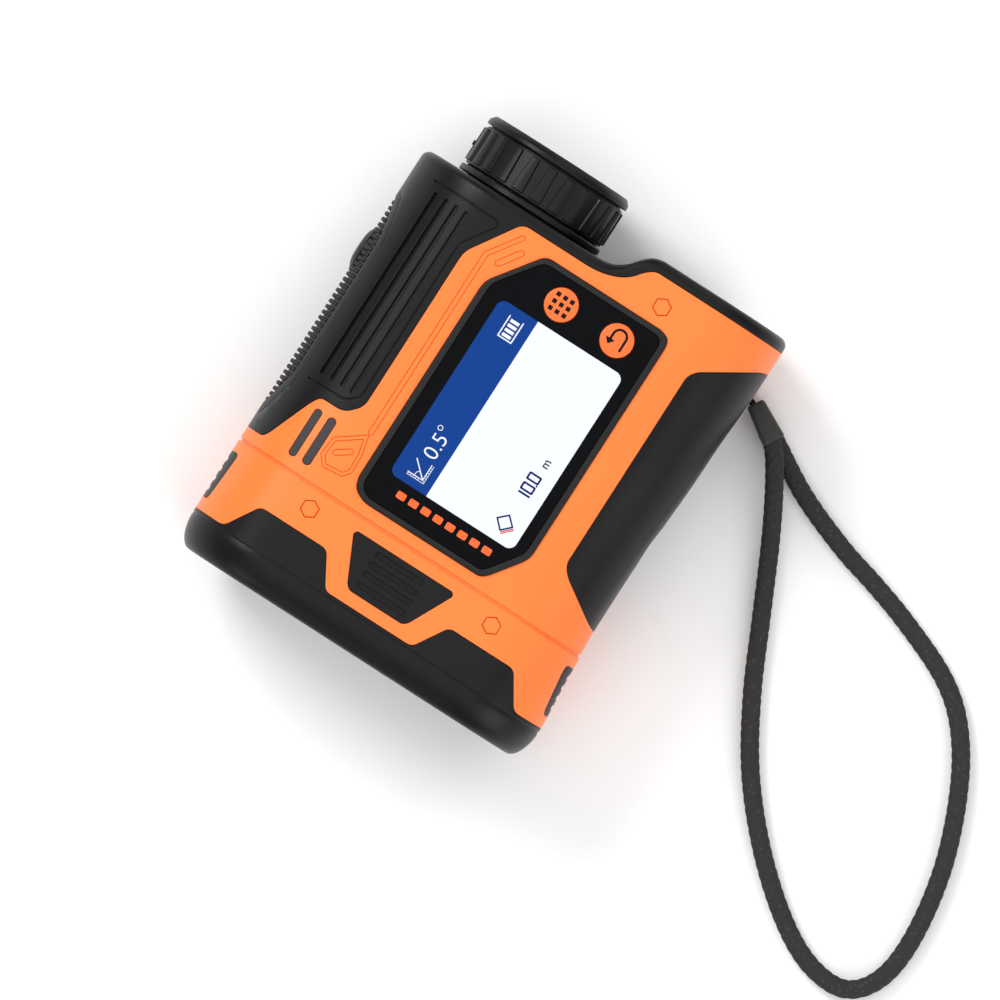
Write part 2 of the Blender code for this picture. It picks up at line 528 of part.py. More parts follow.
def smooth(route, spacing):
    """A Catmull-Rom path through the route, sampled at even spacing."""
    ends = [Vector(point) for point in route]
    path = []
    for index in range(len(ends) - 1):
        a = ends[max(index - 1, 0)]
        b, c = ends[index], ends[index + 1]
        d = ends[min(index + 2, len(ends) - 1)]
        for step in range(20):
            t = step / 20
            path.append(0.5 * (2 * b + (c - a) * t + (2 * a - 5 * b + 4 * c - d) * t * t + (3 * b - a - 3 * c + d) * t ** 3))
    path.append(ends[-1])
    kept, run = [path[0]], 0.0
    for before, after in zip(path, path[1:]):
        run += (after - before).length
        if run >= spacing:
            kept.append(after)
            run = 0.0
    if run > spacing / 3:
        kept.append(path[-1])
    return kept


def cord(name, route, radius, spacing, surface):
    points = smooth(route, spacing)
    curve = bpy.data.curves.new(name, "CURVE")
    curve.dimensions = "3D"
    curve.bevel_depth = radius * MM
    curve.bevel_resolution = 2
    curve.use_fill_caps = True
    spline = curve.splines.new("POLY")
    spline.points.add(len(points) - 1)
    for spot, point in zip(spline.points, points):
        spot.co = (*(point * MM), 1.0)
    curve.materials.append(surface)
    obj = bpy.data.objects.new(name, curve)
    bpy.context.scene.collection.objects.link(obj)
    return obj


def make_strap(look):
    rod("strap_pin", 0.9, 30.0, 35.4, (35.6, 9.9), "Y", look["metal"], 12)
    box("strap_lug", (29.4, 28.6, 6.9), (30.7, 36.8, 14.4), look["metal"])
    string = [
        (41.3, 33.2, 3.4), (39.6, 33.4, 5.4), (37.6, 33.3, 8.0), (36.6, 33.2, 8.4), (35.2, 33.1, 8.3), (34.2, 33.0, 8.9),
        (33.9, 32.9, 10.0), (34.4, 32.8, 11.2), (35.7, 32.7, 11.6), (37.4, 32.6, 11.2), (39.4, 32.5, 8.9), (41.1, 32.6, 6.6),
    ]
    cord("strap_string", string, 0.5, 1.6, look["string"])
    outline = [(0.0, -1.9), (2.0, -2.4), (7.4, -2.4), (8.6, -1.9), (8.6, 1.9), (7.4, 2.4), (2.0, 2.4), (0.0, 1.9)]
    along = Vector((0.857, -0.515))
    across = Vector((0.515, 0.857))
    start = Vector((42.2, 33.0))
    laid = [tuple(start + along * a + across * b) for a, b in outline]
    prism("strap_clasp", laid, 0.3, 9.4, look["clasp"])
    cord("strap_braid", STRAP_ROUTE, BRAID_R, 7.0, look["braid"])


def main():
    clear_scene()
    look = {
        "shell": material("orange_shell", (0.90, 0.19, 0.04), 0.45),
        "rubber": material("black_rubber", (0.025, 0.025, 0.03), 0.7),
        "pad": material("pad_rubber", (0.02, 0.02, 0.024), 0.85),
        "inlay": material("grey_inlay", (0.07, 0.06, 0.065), 0.5),
        "plate": material("black_plastic", (0.03, 0.03, 0.033), 0.5),
        "bezel": material("grey_bezel", (0.05, 0.05, 0.055), 0.4),
        "glass": material("dark_glass", (0.02, 0.02, 0.03), 0.08),
        "lcd": material("lcd_panel", (0.75, 0.8, 0.85), 0.3),
        "key": material("orange_key", (0.92, 0.3, 0.05), 0.4),
        "metal": material("bright_metal", (0.6, 0.6, 0.6), 0.35, 1.0),
        "metal_black": material("black_anodised", (0.03, 0.03, 0.035), 0.4, 0.6),
        "lens": material("coated_lens", (0.25, 0.35, 0.45), 0.05),
        "prism": material("prism_glass", (0.6, 0.7, 0.75), 0.08),
        "board": material("green_board", (0.03, 0.2, 0.09), 0.5),
        "battery": material("cell_wrap", (0.08, 0.2, 0.45), 0.4),
        "string": material("black_string", (0.03, 0.03, 0.03), 0.85),
        "clasp": material("grey_clasp", (0.09, 0.09, 0.085), 0.5),
        "braid": material("dark_braid", (0.03, 0.028, 0.025), 0.9),
    }
    make_tools()
    make_housing(look)
    make_front(look)
    make_armour(look)
    make_panel(look)
    make_button(look)
    make_eyepiece(look)
    make_optics(look)
    make_power(look)
    make_screws(look)
    make_strap(look)


main()
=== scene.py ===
"""Looks of the monocular laser rangefinder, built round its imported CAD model.

Lengths are millimetres unless a name says otherwise, and meshes are stored in metres.
"""

import math

import bmesh
import bpy
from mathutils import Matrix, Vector


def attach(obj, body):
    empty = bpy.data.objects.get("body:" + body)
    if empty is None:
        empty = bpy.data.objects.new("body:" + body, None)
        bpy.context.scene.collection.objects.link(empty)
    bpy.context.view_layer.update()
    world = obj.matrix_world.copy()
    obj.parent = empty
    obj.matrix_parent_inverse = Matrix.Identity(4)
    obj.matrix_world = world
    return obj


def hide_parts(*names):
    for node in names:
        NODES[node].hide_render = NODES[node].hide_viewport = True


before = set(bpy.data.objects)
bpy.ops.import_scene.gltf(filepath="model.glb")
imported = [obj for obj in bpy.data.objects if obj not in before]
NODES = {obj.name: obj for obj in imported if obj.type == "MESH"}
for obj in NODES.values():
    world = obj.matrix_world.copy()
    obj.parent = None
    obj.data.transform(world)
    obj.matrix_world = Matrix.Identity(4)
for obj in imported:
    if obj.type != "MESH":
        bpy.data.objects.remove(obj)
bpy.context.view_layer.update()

MM = 0.001
ROOT = "rangefinder"

# Cutting tools reach past the body on every side.
PAST = 60.0
UNDER = -10.0
AHEAD = -75.0

LEFT = -41.2
TOP = 43.4
MID = TOP / 2
CORNER = 19.0
ARC = 18
REAR_Y = 33.0
RIGHT_AT = [
    (-60.0, 41.2), (-47.0, 41.2), (-31.3, 40.2), (-26.0, 39.6), (-11.3, 39.6), (18.0, 40.6), (35.7, 41.2),
    (60.0, 41.2),
]
REAR_LINE = [
    (-0.4, 40.2), (1.6, 40.35), (3.6, 41.0), (5.6, 42.4), (6.7, 43.7), (7.9, 45.1), (9.4, 46.2), (11.4, 46.7),
]
REAR_ROUND = 1.8
FRONT_Y = -53.3
NOSE = (7.0, 3.4)
NOSE_LIP = 0.16
WALL = 3.6
SKIN = 1.5
GAP = 0.3
JOINT = 0.08
SEAT = SKIN + JOINT
INLAY_SEAT = 1.2
INLAY_DEPTH = 0.9
SEAM_TOP = -28.7
SEAM_FOOT = -29.4
SPIGOT_END = -50.3
ARMOUR_FOOT = -28.0

REAR_REGION = [
    (-50.0, 60.0), (-50.0, -26.1), (-37.6, -26.1), (-36.8, -24.9), (-33.0, -15.3), (-31.8, -13.3),
    (-26.4, -13.3), (-23.5, -10.3), (-23.5, 26.7), (-16.4, 37.7), (-0.4, 37.7), (2.6, 38.1),
    (5.6, 39.2), (7.6, 40.6), (9.2, 42.7), (11.0, 44.1), (50.0, 44.1), (50.0, 60.0),
]
UNDER_REGION = [
    (50.0, 38.9), (40.4, 38.9), (28.8, 31.5), (27.6, 29.7), (27.6, -14.9), (29.2, -16.9), (39.6, -23.7),
    (50.0, -23.7),
]
PAD_REGION = [
    (-50.0, 30.7), (-50.0, -23.3), (-41.0, -23.3), (-40.0, -20.3), (-38.8, -15.3), (-38.0, -12.3),
    (-38.0, 18.7), (-38.8, 23.7), (-40.4, 30.7),
]
BUMPER_REGION = [
    (-50.0, -60.0), (50.0, -60.0), (50.0, -45.5), (34.6, -45.5), (30.0, -38.3), (14.8, -38.3),
    (10.4, -45.5), (-10.2, -45.5), (-14.4, -38.3), (-30.0, -38.3), (-34.4, -45.5), (-50.0, -45.5),
]
GRILLE_FACE = [
    (-11.6, -32.6), (-11.1, -31.9), (11.4, -31.9), (11.9, -32.6), (7.3, -41.9), (6.3, -42.7),
    (-6.1, -42.7), (-7.1, -41.9),
]
GRILLE_SLOTS = [-33.7, -36.0, -38.3, -40.7]
SIDE_GRILLE = [(-42.7, MID - 9.0), (-42.7, MID + 9.0), (-31.9, MID + 10.5), (-31.9, MID - 10.5)]
SIDE_SLOTS = [-33.9, -36.2, -38.5, -40.7]
INLAYS = [("inlay_outer", -31.4, -29.8), ("inlay_inner", -28.2, -26.4)]
PANEL_LINE = [
    (-36.0, 35.5), (-21.2, 35.5), (-20.4, 34.6), (-25.1, 27.4), (-25.1, -9.3), (-27.8, -11.3), (-36.0, -11.3),
]
GROOVES_X = [-34.4, -32.0, -29.6, -27.2]

EYE_X = -17.15
NECK_R = 13.2
RECEIVER_X = 17.0
LASER_X = 0.6
BEZEL_TOP = 44.0
BEZEL_FOOT = 42.1
GLASS_TOP = 43.8
BEZEL = [
    (-16.8, 23.9), (-9.0, 34.7), (18.6, 34.7), (20.4, 33.9), (20.8, 32.2), (20.8, -18.0), (15.6, -25.2),
    (14.2, -26.3), (-13.4, -26.3), (-16.0, -24.9), (-16.8, -22.6),
]
GLASS = [
    (-15.4, 24.3), (-8.6, 33.5), (18.0, 33.5), (19.1, 32.9), (19.5, 31.8), (19.5, -17.6), (14.6, -24.3),
    (13.6, -25.1), (-13.0, -25.1), (-14.8, -24.1), (-15.4, -22.4),
]
WINDOW = [
    (-14.2, 23.9), (-8.0, 32.6), (17.5, 32.6), (18.3, 31.5), (18.3, -17.3), (14.0, -23.1), (13.0, -23.9),
    (-12.6, -23.9), (-14.2, -22.3),
]
SHIELD = [
    (-19.8, -15.1), (-25.0, -18.9), (-25.3, -22.6), (-23.9, -24.4), (-19.9, -24.0), (-18.8, -22.6),
    (-18.9, -19.0),
]
KEYS = [("key_menu", -1.3, 28.2, "menu_key"), ("key_back", 11.9, 28.2, "back_key")]
KEY_R = 3.5
KEY_MARK = (43.9, 44.02)
BUTTON_Y = 16.4
BUTTON_R = 5.3
PORT = (25.0, 31.6)
TRIPOD_Y = -3.0
TRIPOD_R = 5.0
POCKET = ((31.0, 29.7, 6.6), (60.0, 35.7, 13.4))
SCREWS = [("screw_rear", 15.9, 38.7), ("screw_front_top", -21.6, -33.3), ("screw_front_under", 21.6, -33.3)]
HEX_R = 1.9
WELL_DEPTH = 1.8

BRAID_WIDTH = 3.8
BRAID_PITCH = 2.2
STRAP_ROUTE = [
    (47.6, 30.1, 2.6), (50.6, 28.4, 2.5), (60.8, 22.6, 2.3), (72.8, 17.9, 2.3), (82.5, 15.2, 2.3),
    (92.3, 12.0, 2.3),
    (104.3, 6.8, 2.3), (112.2, 0.2, 2.3), (118.9, -10.2, 2.3), (124.7, -25.0, 2.3), (127.3, -39.9, 2.3),
    (126.4, -50.6, 2.3), (121.6, -56.6, 2.3), (113.4, -56.6, 2.3), (104.0, -52.0, 2.3), (92.6, -42.6, 2.3),
    (82.0, -30.6, 2.3), (73.6, -17.0, 2.3), (66.6, -2.6, 2.4), (60.0, 11.0, 3.6), (54.6, 20.8, 6.2),
    (50.3, 27.2, 7.1), (47.2, 29.4, 7.3),
]
STRING_WIDTH = 0.8
STRING_ROUTE = [
    (46.4, 30.4, 2.7), (43.6, 32.1, 2.9), (41.3, 33.2, 3.4), (39.6, 33.4, 5.4), (37.6, 33.3, 8.0),
    (36.6, 33.2, 8.4),
    (35.2, 33.1, 8.3), (34.2, 33.0, 8.9), (33.9, 32.9, 10.0), (34.4, 32.8, 11.2), (35.7, 32.7, 11.6),
    (37.4, 32.6, 11.2), (39.4, 32.5, 8.9), (41.1, 32.6, 6.9), (43.4, 31.6, 6.3), (46.4, 29.9, 6.2),
]

# Objects that only shape others. They are removed at the end.
TOOLS = []


# ---------------------------------------------------------------- materials


def shader_of(name):
    made = bpy.data.materials.new(name)
    made.use_nodes = True
    return made, made.node_tree, made.node_tree.nodes["Principled BSDF"]


def set_up(target, **sockets):
    for key, value in sockets.items():
        target.inputs[key.replace("_", " ")].default_value = value
    return target


def node(tree, kind, **sockets):
    return set_up(tree.nodes.new(kind), **sockets)


def placed(tree, *targets):
    """Gives textures the object's own coordinates."""
    place = tree.nodes.new("ShaderNodeTexCoord")
    for target in targets:
        tree.links.new(place.outputs["Object"], target)


def coloured(tree, shader, source, low, high, start=0.0, end=1.0):
    """Base colour that runs from low to high as source rises."""
    ramp = tree.nodes.new("ShaderNodeValToRGB")
    for element, position, colour in zip(ramp.color_ramp.elements, (start, end), (low, high)):
        element.position = position
        element.color = (*colour, 1.0)
    tree.links.new(source, ramp.inputs["Fac"])
    tree.links.new(ramp.outputs["Color"], shader.inputs["Base Color"])


def embossed(tree, shader, source, strength):
    relief = node(tree, "ShaderNodeBump", Strength=strength, Distance=0.08 * MM)
    tree.links.new(source, relief.inputs["Height"])
    tree.links.new(relief.outputs["Normal"], shader.inputs["Normal"])
    return relief


def grain(
    name, colour, spread, roughness, rough_spread, scale, bump, edge, specular=0.5, metallic=0.0, coat=0.0,
):
    """Moulded or painted surface: faint colour patches, uneven gloss, fine grain and rounded edges."""
    made, tree, shader = shader_of(name)
    wide = node(tree, "ShaderNodeTexNoise", Scale=60.0, Detail=4.0, Roughness=0.55)
    fine = node(tree, "ShaderNodeTexNoise", Scale=scale, Detail=2.0, Roughness=0.6)
    placed(tree, wide.inputs["Vector"], fine.inputs["Vector"])
    dark = [max(c * (1 - spread), 0.0) for c in colour]
    light = [min(c * (1 + spread), 1.0) for c in colour]
    coloured(tree, shader, wide.outputs["Fac"], dark, light, 0.3, 0.7)
    gloss = node(
        tree, "ShaderNodeMapRange", From_Min=0.3, From_Max=0.7,
        To_Min=roughness - rough_spread, To_Max=roughness + rough_spread,
    )
    tree.links.new(fine.outputs["Fac"], gloss.inputs["Value"])
    tree.links.new(gloss.outputs["Result"], shader.inputs["Roughness"])
    relief = embossed(tree, shader, fine.outputs["Fac"], bump)
    if edge:
        soft = node(tree, "ShaderNodeBevel", Radius=edge * MM)
        soft.samples = 6
        tree.links.new(soft.outputs["Normal"], relief.inputs["Normal"])
    set_up(shader, Metallic=metallic, Coat_Weight=coat, Coat_Roughness=0.25, Specular_IOR_Level=specular)
    return made


def glowing(name, colour, strength):
    """A lit display area under a clear cover: its own light over a faintly mottled colour."""
    made, tree, shader = shader_of(name)
    rows = node(tree, "ShaderNodeTexNoise", Scale=4000.0, Detail=0.0)
    placed(tree, rows.inputs["Vector"])
    coloured(tree, shader, rows.outputs["Fac"], [c * 0.38 for c in colour], [c * 0.40 for c in colour])
    set_up(
        shader, Emission_Color=(*colour, 1.0), Emission_Strength=strength,
        Roughness=0.25, Specular_IOR_Level=0.1,
    )
    return made


def lens_painted_reflection(name, x, radius, middle, rim_reflection):
    """Coated optical glass, deep and very smooth, with a painted reflection: its colour runs from the middle
    to a tinted rim that stands in for the light the coating reflects.
    """
    made, tree, shader = shader_of(name)
    apart = tree.nodes.new("ShaderNodeVectorMath")
    apart.operation = "SUBTRACT"
    apart.inputs[1].default_value = (x * MM, 0.0, MID * MM)
    placed(tree, apart.inputs[0])
    flat = tree.nodes.new("ShaderNodeVectorMath")
    flat.operation = "MULTIPLY"
    flat.inputs[1].default_value = (1.0, 0.0, 1.0)
    tree.links.new(apart.outputs["Vector"], flat.inputs[0])
    far = tree.nodes.new("ShaderNodeVectorMath")
    far.operation = "LENGTH"
    tree.links.new(flat.outputs["Vector"], far.inputs[0])
    share = node(tree, "ShaderNodeMapRange", From_Max=radius * MM)
    tree.links.new(far.outputs["Value"], share.inputs["Value"])
    # Painted reflection: the tinted rim colour stands in for the coating's reflected light, not for a colour
    # the glass has.
    coloured(tree, shader, share.outputs["Result"], middle, rim_reflection)
    set_up(shader, Roughness=0.03, Metallic=0.35, Coat_Weight=1.0, Coat_Roughness=0.02)
    return made


def braided(name):
    """Dark polyester braid, fuzzy, with a few paler flecks. Its crossed cords are in the mesh."""
    made, tree, shader = shader_of(name)
    flecks = node(tree, "ShaderNodeTexVoronoi", Scale=900.0)
    fuzz = node(tree, "ShaderNodeTexNoise", Scale=2600.0, Detail=3.0, Roughness=0.7)
    placed(tree, flecks.inputs["Vector"], fuzz.inputs["Vector"])
    pale, dark = (0.042, 0.036, 0.028), (0.0065, 0.0060, 0.0055)
    coloured(tree, shader, flecks.outputs["Distance"], pale, dark, 0.0, 0.32)
    embossed(tree, shader, fuzz.outputs["Fac"], 0.5)
    set_up(shader, Roughness=0.72, Sheen_Weight=0.06, Sheen_Roughness=0.4)
    return made


# Look: material, colour, its spread, roughness, its spread, grain scale, bump, edge, specular, metal, coat.
GRAINS = {
    "shell": ("shell_orange", (0.95, 0.185, 0.024), 0.03, 0.42, 0.04, 2600.0, 0.08, 0.25, 0.4),
    "rubber": ("rubber_black", (0.0050, 0.0050, 0.0058), 0.12, 0.36, 0.05, 3200.0, 0.2, 0.3, 0.16),
    "pad": ("rubber_pad", (0.0042, 0.0042, 0.0050), 0.15, 0.46, 0.06, 3600.0, 0.25, 0.1, 0.2),
    "inlay": ("plastic_inlay", (0.040, 0.032, 0.035), 0.08, 0.48, 0.05, 3000.0, 0.15, 0.12, 0.2),
    "inlay_dark": ("plastic_grille", (0.0055, 0.0055, 0.0064), 0.08, 0.42, 0.05, 3000.0, 0.15, 0.12, 0.16),
    "plate": ("plastic_front", (0.006, 0.006, 0.007), 0.1, 0.42, 0.05, 3000.0, 0.2, 0.15, 0.25),
    "bezel": ("plastic_bezel", (0.0110, 0.0110, 0.0118), 0.06, 0.42, 0.04, 3400.0, 0.12, 0.15, 0.18),
    "glass": ("window_black", (0.0014, 0.0016, 0.0026), 0.02, 0.10, 0.02, 40.0, 0.0, 0.08, 0.05),
    "key": ("key_orange", (0.93, 0.155, 0.034), 0.03, 0.45, 0.04, 3000.0, 0.08, 0.1, 0.2),
    "ink": ("ink_black", (0.0045, 0.0045, 0.0050), 0.05, 0.45, 0.03, 3000.0, 0.1, 0.0, 0.1),
    "mark": ("mark_orange", (0.90, 0.125, 0.030), 0.04, 0.35, 0.03, 3000.0, 0.1, 0.0, 0.15),
    "ring": ("ring_black", (0.0058, 0.0058, 0.0068), 0.1, 0.34, 0.04, 3600.0, 0.12, 0.1, 0.2),
    "metal": ("metal_bright", (0.62, 0.61, 0.58), 0.08, 0.3, 0.06, 2400.0, 0.15, 0.1, 0.5, 1.0),
    "metal_black": ("metal_black", (0.02, 0.02, 0.023), 0.1, 0.34, 0.05, 3000.0, 0.15, 0.12, 0.5, 0.6),
    "brass": ("metal_brass", (0.72, 0.5, 0.22), 0.08, 0.3, 0.06, 2400.0, 0.15, 0.1, 0.5, 1.0),
    "board": ("board_green", (0.02, 0.16, 0.06), 0.2, 0.45, 0.08, 1500.0, 0.2, 0.1, 0.5, 0.0, 0.3),
    "cell": ("cell_wrap", (0.05, 0.17, 0.42), 0.08, 0.32, 0.05, 1800.0, 0.1, 0.2, 0.5, 0.0, 0.3),
    "panel_back": ("panel_back", (0.35, 0.36, 0.38), 0.08, 0.4, 0.05, 1800.0, 0.1, 0.1),
    "string": ("string_black", (0.006, 0.006, 0.006), 0.3, 0.8, 0.05, 5000.0, 0.6, 0.0, 0.2),
    "clasp": ("clasp_grey", (0.036, 0.036, 0.033), 0.08, 0.55, 0.05, 3200.0, 0.25, 0.3, 0.25),
}
LOOK = {look: grain(*values) for look, values in GRAINS.items()}
LOOK |= {
    "braid": braided("braid_dark"),
    # The lens and prism colours below carry a painted reflection: each rim is tinted lighter or coloured
    # where the coating would reflect light.
    "lens": lens_painted_reflection("lens_coated_painted_reflection", EYE_X, 11.3, (0.010, 0.012, 0.045), (0.12, 0.03, 0.16)),
    "lens_small": lens_painted_reflection("lens_receiver", RECEIVER_X, 10.3, (0.010, 0.012, 0.045), (0.12, 0.03, 0.16)),
    "lens_rear": lens_painted_reflection("lens_eyepiece", EYE_X, 9.5, (0.008, 0.020, 0.026), (0.04, 0.12, 0.08)),
    "prism": lens_painted_reflection("prism_glass", EYE_X, 14.0, (0.35, 0.42, 0.46), (0.5, 0.56, 0.6)),
    "lcd_white": glowing("lcd_white", (0.90, 0.93, 0.985), 0.50),
    "lcd_blue": glowing("lcd_blue", (0.0, 0.056, 0.335), 0.34),
    "lcd_ink": glowing("lcd_ink", (0.006, 0.018, 0.20), 0.3),
    "lcd_text": glowing("lcd_text", (0.012, 0.012, 0.02), 0.3),
    "lcd_red": glowing("lcd_red", (0.80, 0.02, 0.02), 0.35),
}


# ---------------------------------------------------------------- mesh kit


def new_object(name, mesh, look):
    obj = bpy.data.objects.new(name, mesh)
    bpy.context.scene.collection.objects.link(obj)
    if look:
        mesh.materials.append(LOOK[look])
    else:
        TOOLS.append(obj)
    return obj


def settle(obj, body, stands_for=()):
    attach(obj, body)
    if stands_for:
        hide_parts(*stands_for)


def smooth(mesh, angle=32.0):
    for face in mesh.polygons:
        face.use_smooth = True
    mesh.set_sharp_from_angle(angle=math.radians(angle))


def solid(name, points, faces, look=None, angle=32.0):
    work = bmesh.new()
    verts = [work.verts.new(Vector(point) * MM) for point in points]
    for face in faces:
        work.faces.new([verts[index] for index in face])
    bmesh.ops.recalc_face_normals(work, faces=work.faces)
    bmesh.ops.triangulate(work, faces=[face for face in work.faces if len(face.verts) == 4])
    mesh = bpy.data.meshes.new(name)
    work.to_mesh(mesh)
    work.free()
    smooth(mesh, angle)
    return new_object(name, mesh, look)


def combine(obj, tools, operation="DIFFERENCE"):
    """Cuts, joins or crops obj with each tool in turn, and keeps the result as its mesh."""
    for tool in tools:
        change = obj.modifiers.new(tool.name, "BOOLEAN")
        change.operation = operation
        change.solver = "EXACT"
        change.object = tool
    graph = bpy.context.evaluated_depsgraph_get()
    mesh = bpy.data.meshes.new_from_object(obj.evaluated_get(graph))
    obj.modifiers.clear()
    obj.data = mesh
    smooth(mesh)
    return obj


def crop(obj, outline, low=UNDER, high=PAST, axis="Z"):
    """Keeps what lies inside the outline, between low and high."""
    return combine(obj, [prism("form_" + obj.name, outline, low, high, None, axis)], "INTERSECT")


def walls(rows, around, closed=False):
    """The faces between rings of points, and from the last ring back to the first if closed."""
    faces = []
    for row in range(rows if closed else rows - 1):
        low, high = row * around, (row + 1) % rows * around
        faces += [(low + k, low + (k + 1) % around, high + (k + 1) % around, high + k) for k in range(around)]
    return faces


def tube(rows, around):
    """Rings of points joined into a closed body: its walls, and a lid at each end."""
    return walls(rows, around) + [tuple(range(around)), tuple(range((rows - 1) * around, rows * around))]


def right_at(y):
    """Where the right flank is: it is drawn in a little in the middle of the body."""
    for (y0, x0), (y1, x1) in zip(RIGHT_AT, RIGHT_AT[1:]):
        if y <= y1:
            t = (y - y0) / (y1 - y0)
            t = t * t * (3 - 2 * t)
            return x0 + (x1 - x0) * t
    return RIGHT_AT[-1][1]


def catmull(points, steps):
    """A smooth line through the points."""
    ends = [Vector(point) for point in points]
    path = []
    for index in range(len(ends) - 1):
        a, b = ends[max(index - 1, 0)], ends[index]
        c, d = ends[index + 1], ends[min(index + 2, len(ends) - 1)]
        for step in range(steps):
            t = step / steps
            square, cube = (2 * a - 5 * b + 4 * c - d) * t * t, (3 * b - a - 3 * c + d) * t ** 3
            path.append(0.5 * (2 * b + (c - a) * t + square + cube))
    return path + [ends[-1]]


REAR_FINE = [tuple(point) for point in catmull(REAR_LINE, 3)]


def rear_line(inset):
    """The rear end's outline moved in: square to itself as far as the seat, and straight back past that."""
    near = min(inset, SEAT)
    moved = []
    for index, (x, y) in enumerate(REAR_FINE):
        before, after = REAR_FINE[max(index - 1, 0)], REAR_FINE[min(index + 1, len(REAR_FINE) - 1)]
        length = math.dist(before, after)
        across, up = (after[1] - before[1]) / length, -(after[0] - before[0]) / length
        if index in (0, len(REAR_FINE) - 1):
            across, up = 0.0, -1.0
        moved.append((x + near * across, y + near * up - (inset - near)))
    return moved


def arc(middle, radius, start):
    """A quarter turn clockwise about a corner's centre, from the angle start."""
    for step in range(ARC + 1):
        turn = start - step * math.pi / 2 / ARC
        yield middle + radius * math.cos(turn), TOP - CORNER + radius * math.sin(turn)


def ring(inset, y, line, rise=None):
    """One cross-section of the body. With rise, it follows the shaped rear end, that far short of it."""
    radius = CORNER - inset
    top = [*arc(LEFT + CORNER, radius, math.pi)]
    top += [(x, TOP - inset) for x, _ in line]
    top += arc(right_at(y) - CORNER, radius, math.pi / 2)
    if rise is None:
        depth = [y] * len(top)
    else:
        ends = [line[0][1]] * (ARC + 1) + [end for _, end in line] + [line[-1][1]] * (ARC + 1)
        depth = [end - rise for end in ends]
    upper = [(x, d, z) for (x, z), d in zip(top, depth)]
    return upper + [(x, d, TOP - z) for x, d, z in reversed(upper)]


def hull(name, inset, foot, top=None, look=None, nose=None):
    """The body's outer shape moved in by inset, from foot to top, or to the shaped rear end."""
    line = rear_line(inset)
    last = REAR_Y if top is None else top
    spacing = 4.0
    stations = [foot]
    while stations[-1] + spacing < last:
        stations.append(stations[-1] + spacing)
    stations.append(last)
    rings = []
    if nose:
        length, depth = nose
        for step in range(12, 0, -1):
            angle = math.radians(7.5 * step)
            back = foot + length * (1 - math.sin(angle))
            rings.append(ring(depth * (1 - math.cos(angle)), back, line))
        stations = [y for y in stations if y > foot + length + 0.5]
        rings.append(ring(NOSE_LIP, foot + length, line))
        stations.insert(0, foot + length + NOSE_LIP)
    rings += [ring(inset, y, line) for y in stations]
    if top is None:
        rounding = max(REAR_ROUND - inset, 0.0)
        for step in range(7) if rounding else (6,):
            angle = math.radians(15.0 * step)
            rise = rounding * (1 - math.sin(angle))
            rings.append(ring(inset + rounding * (1 - math.cos(angle)), PAST, line, rise))
    size = len(rings[0])
    points = [point for each in rings for point in each]
    faces = walls(len(rings), size)
    for start in (0, (len(rings) - 1) * size):
        end = start + size - 1
        faces += [(start + k, start + k + 1, end - 1 - k, end - k) for k in range(size // 2 - 1)]
    return solid(name, points, faces, look)


def area(outline):
    return sum(a[0] * b[1] - b[0] * a[1] for a, b in zip(outline, outline[1:] + outline[:1])) / 2


def grown(outline, by):
    """The outline moved outwards by a distance, or inwards if it is negative."""
    turn = 1.0 if area(outline) > 0 else -1.0
    moved = []
    for index, here in enumerate(outline):
        before, after = outline[index - 1], outline[(index + 1) % len(outline)]
        first = Vector((here[1] - before[1], before[0] - here[0])).normalized() * turn
        second = Vector((after[1] - here[1], here[0] - after[0])).normalized() * turn
        normal = (first + second).normalized()
        reach = by / max(normal.dot(first), 0.5)
        moved.append((here[0] + normal.x * reach, here[1] + normal.y * reach))
    return moved


def bend(before, here, after, radius, steps=4):
    """A short curve that cuts the corner at here."""
    here = Vector(here)
    first, second = Vector(before) - here, Vector(after) - here
    reach = min(radius, first.length * 0.45, second.length * 0.45)
    a, b = here + first.normalized() * reach, here + second.normalized() * reach
    shares = [step / steps for step in range(steps + 1)]
    return [tuple(a * (1 - t) ** 2 + here * 2 * t * (1 - t) + b * t * t) for t in shares]


def filleted(outline, radius):
    """The outline with every corner turned into a short curve."""
    turned_round = zip(outline[-1:] + outline[:-1], outline, outline[1:] + outline[:1])
    return [point for corner in turned_round for point in bend(*corner, radius)]


def filleted_line(points, radius):
    """An open line with its inner corners turned into short curves."""
    corners = zip(points, points[1:], points[2:])
    return [points[0], *(point for corner in corners for point in bend(*corner, radius)), points[-1]]


AXES = {"Z": lambda a, b, c: (a, b, c), "Y": lambda a, b, c: (a, c, b), "X": lambda a, b, c: (c, a, b)}


def prism(name, outline, low, high, look=None, axis="Z"):
    points = [AXES[axis](a, b, level) for level in (low, high) for a, b in outline]
    return solid(name, points, tube(2, len(outline)), look)


def slab(name, outline, low, high, round_off, look=None, axis="Z"):
    """A prism whose edge at high is rounded."""
    sign = 1.0 if high > low else -1.0
    levels = [(0.0, low)]
    for turn in (0, 22.5, 45, 67.5, 90):
        angle = math.radians(turn)
        levels.append((-round_off * (1 - math.cos(angle)), high - sign * round_off * (1 - math.sin(angle))))
    points = []
    for inset, level in levels:
        points += [AXES[axis](a, b, level) for a, b in (grown(outline, inset) if inset else outline)]
    return solid(name, points, tube(len(levels), len(outline)), look)


def box(name, low, high, look=None):
    outline = [(low[0], low[1]), (high[0], low[1]), (high[0], high[1]), (low[0], high[1])]
    return prism(name, outline, low[2], high[2], look)


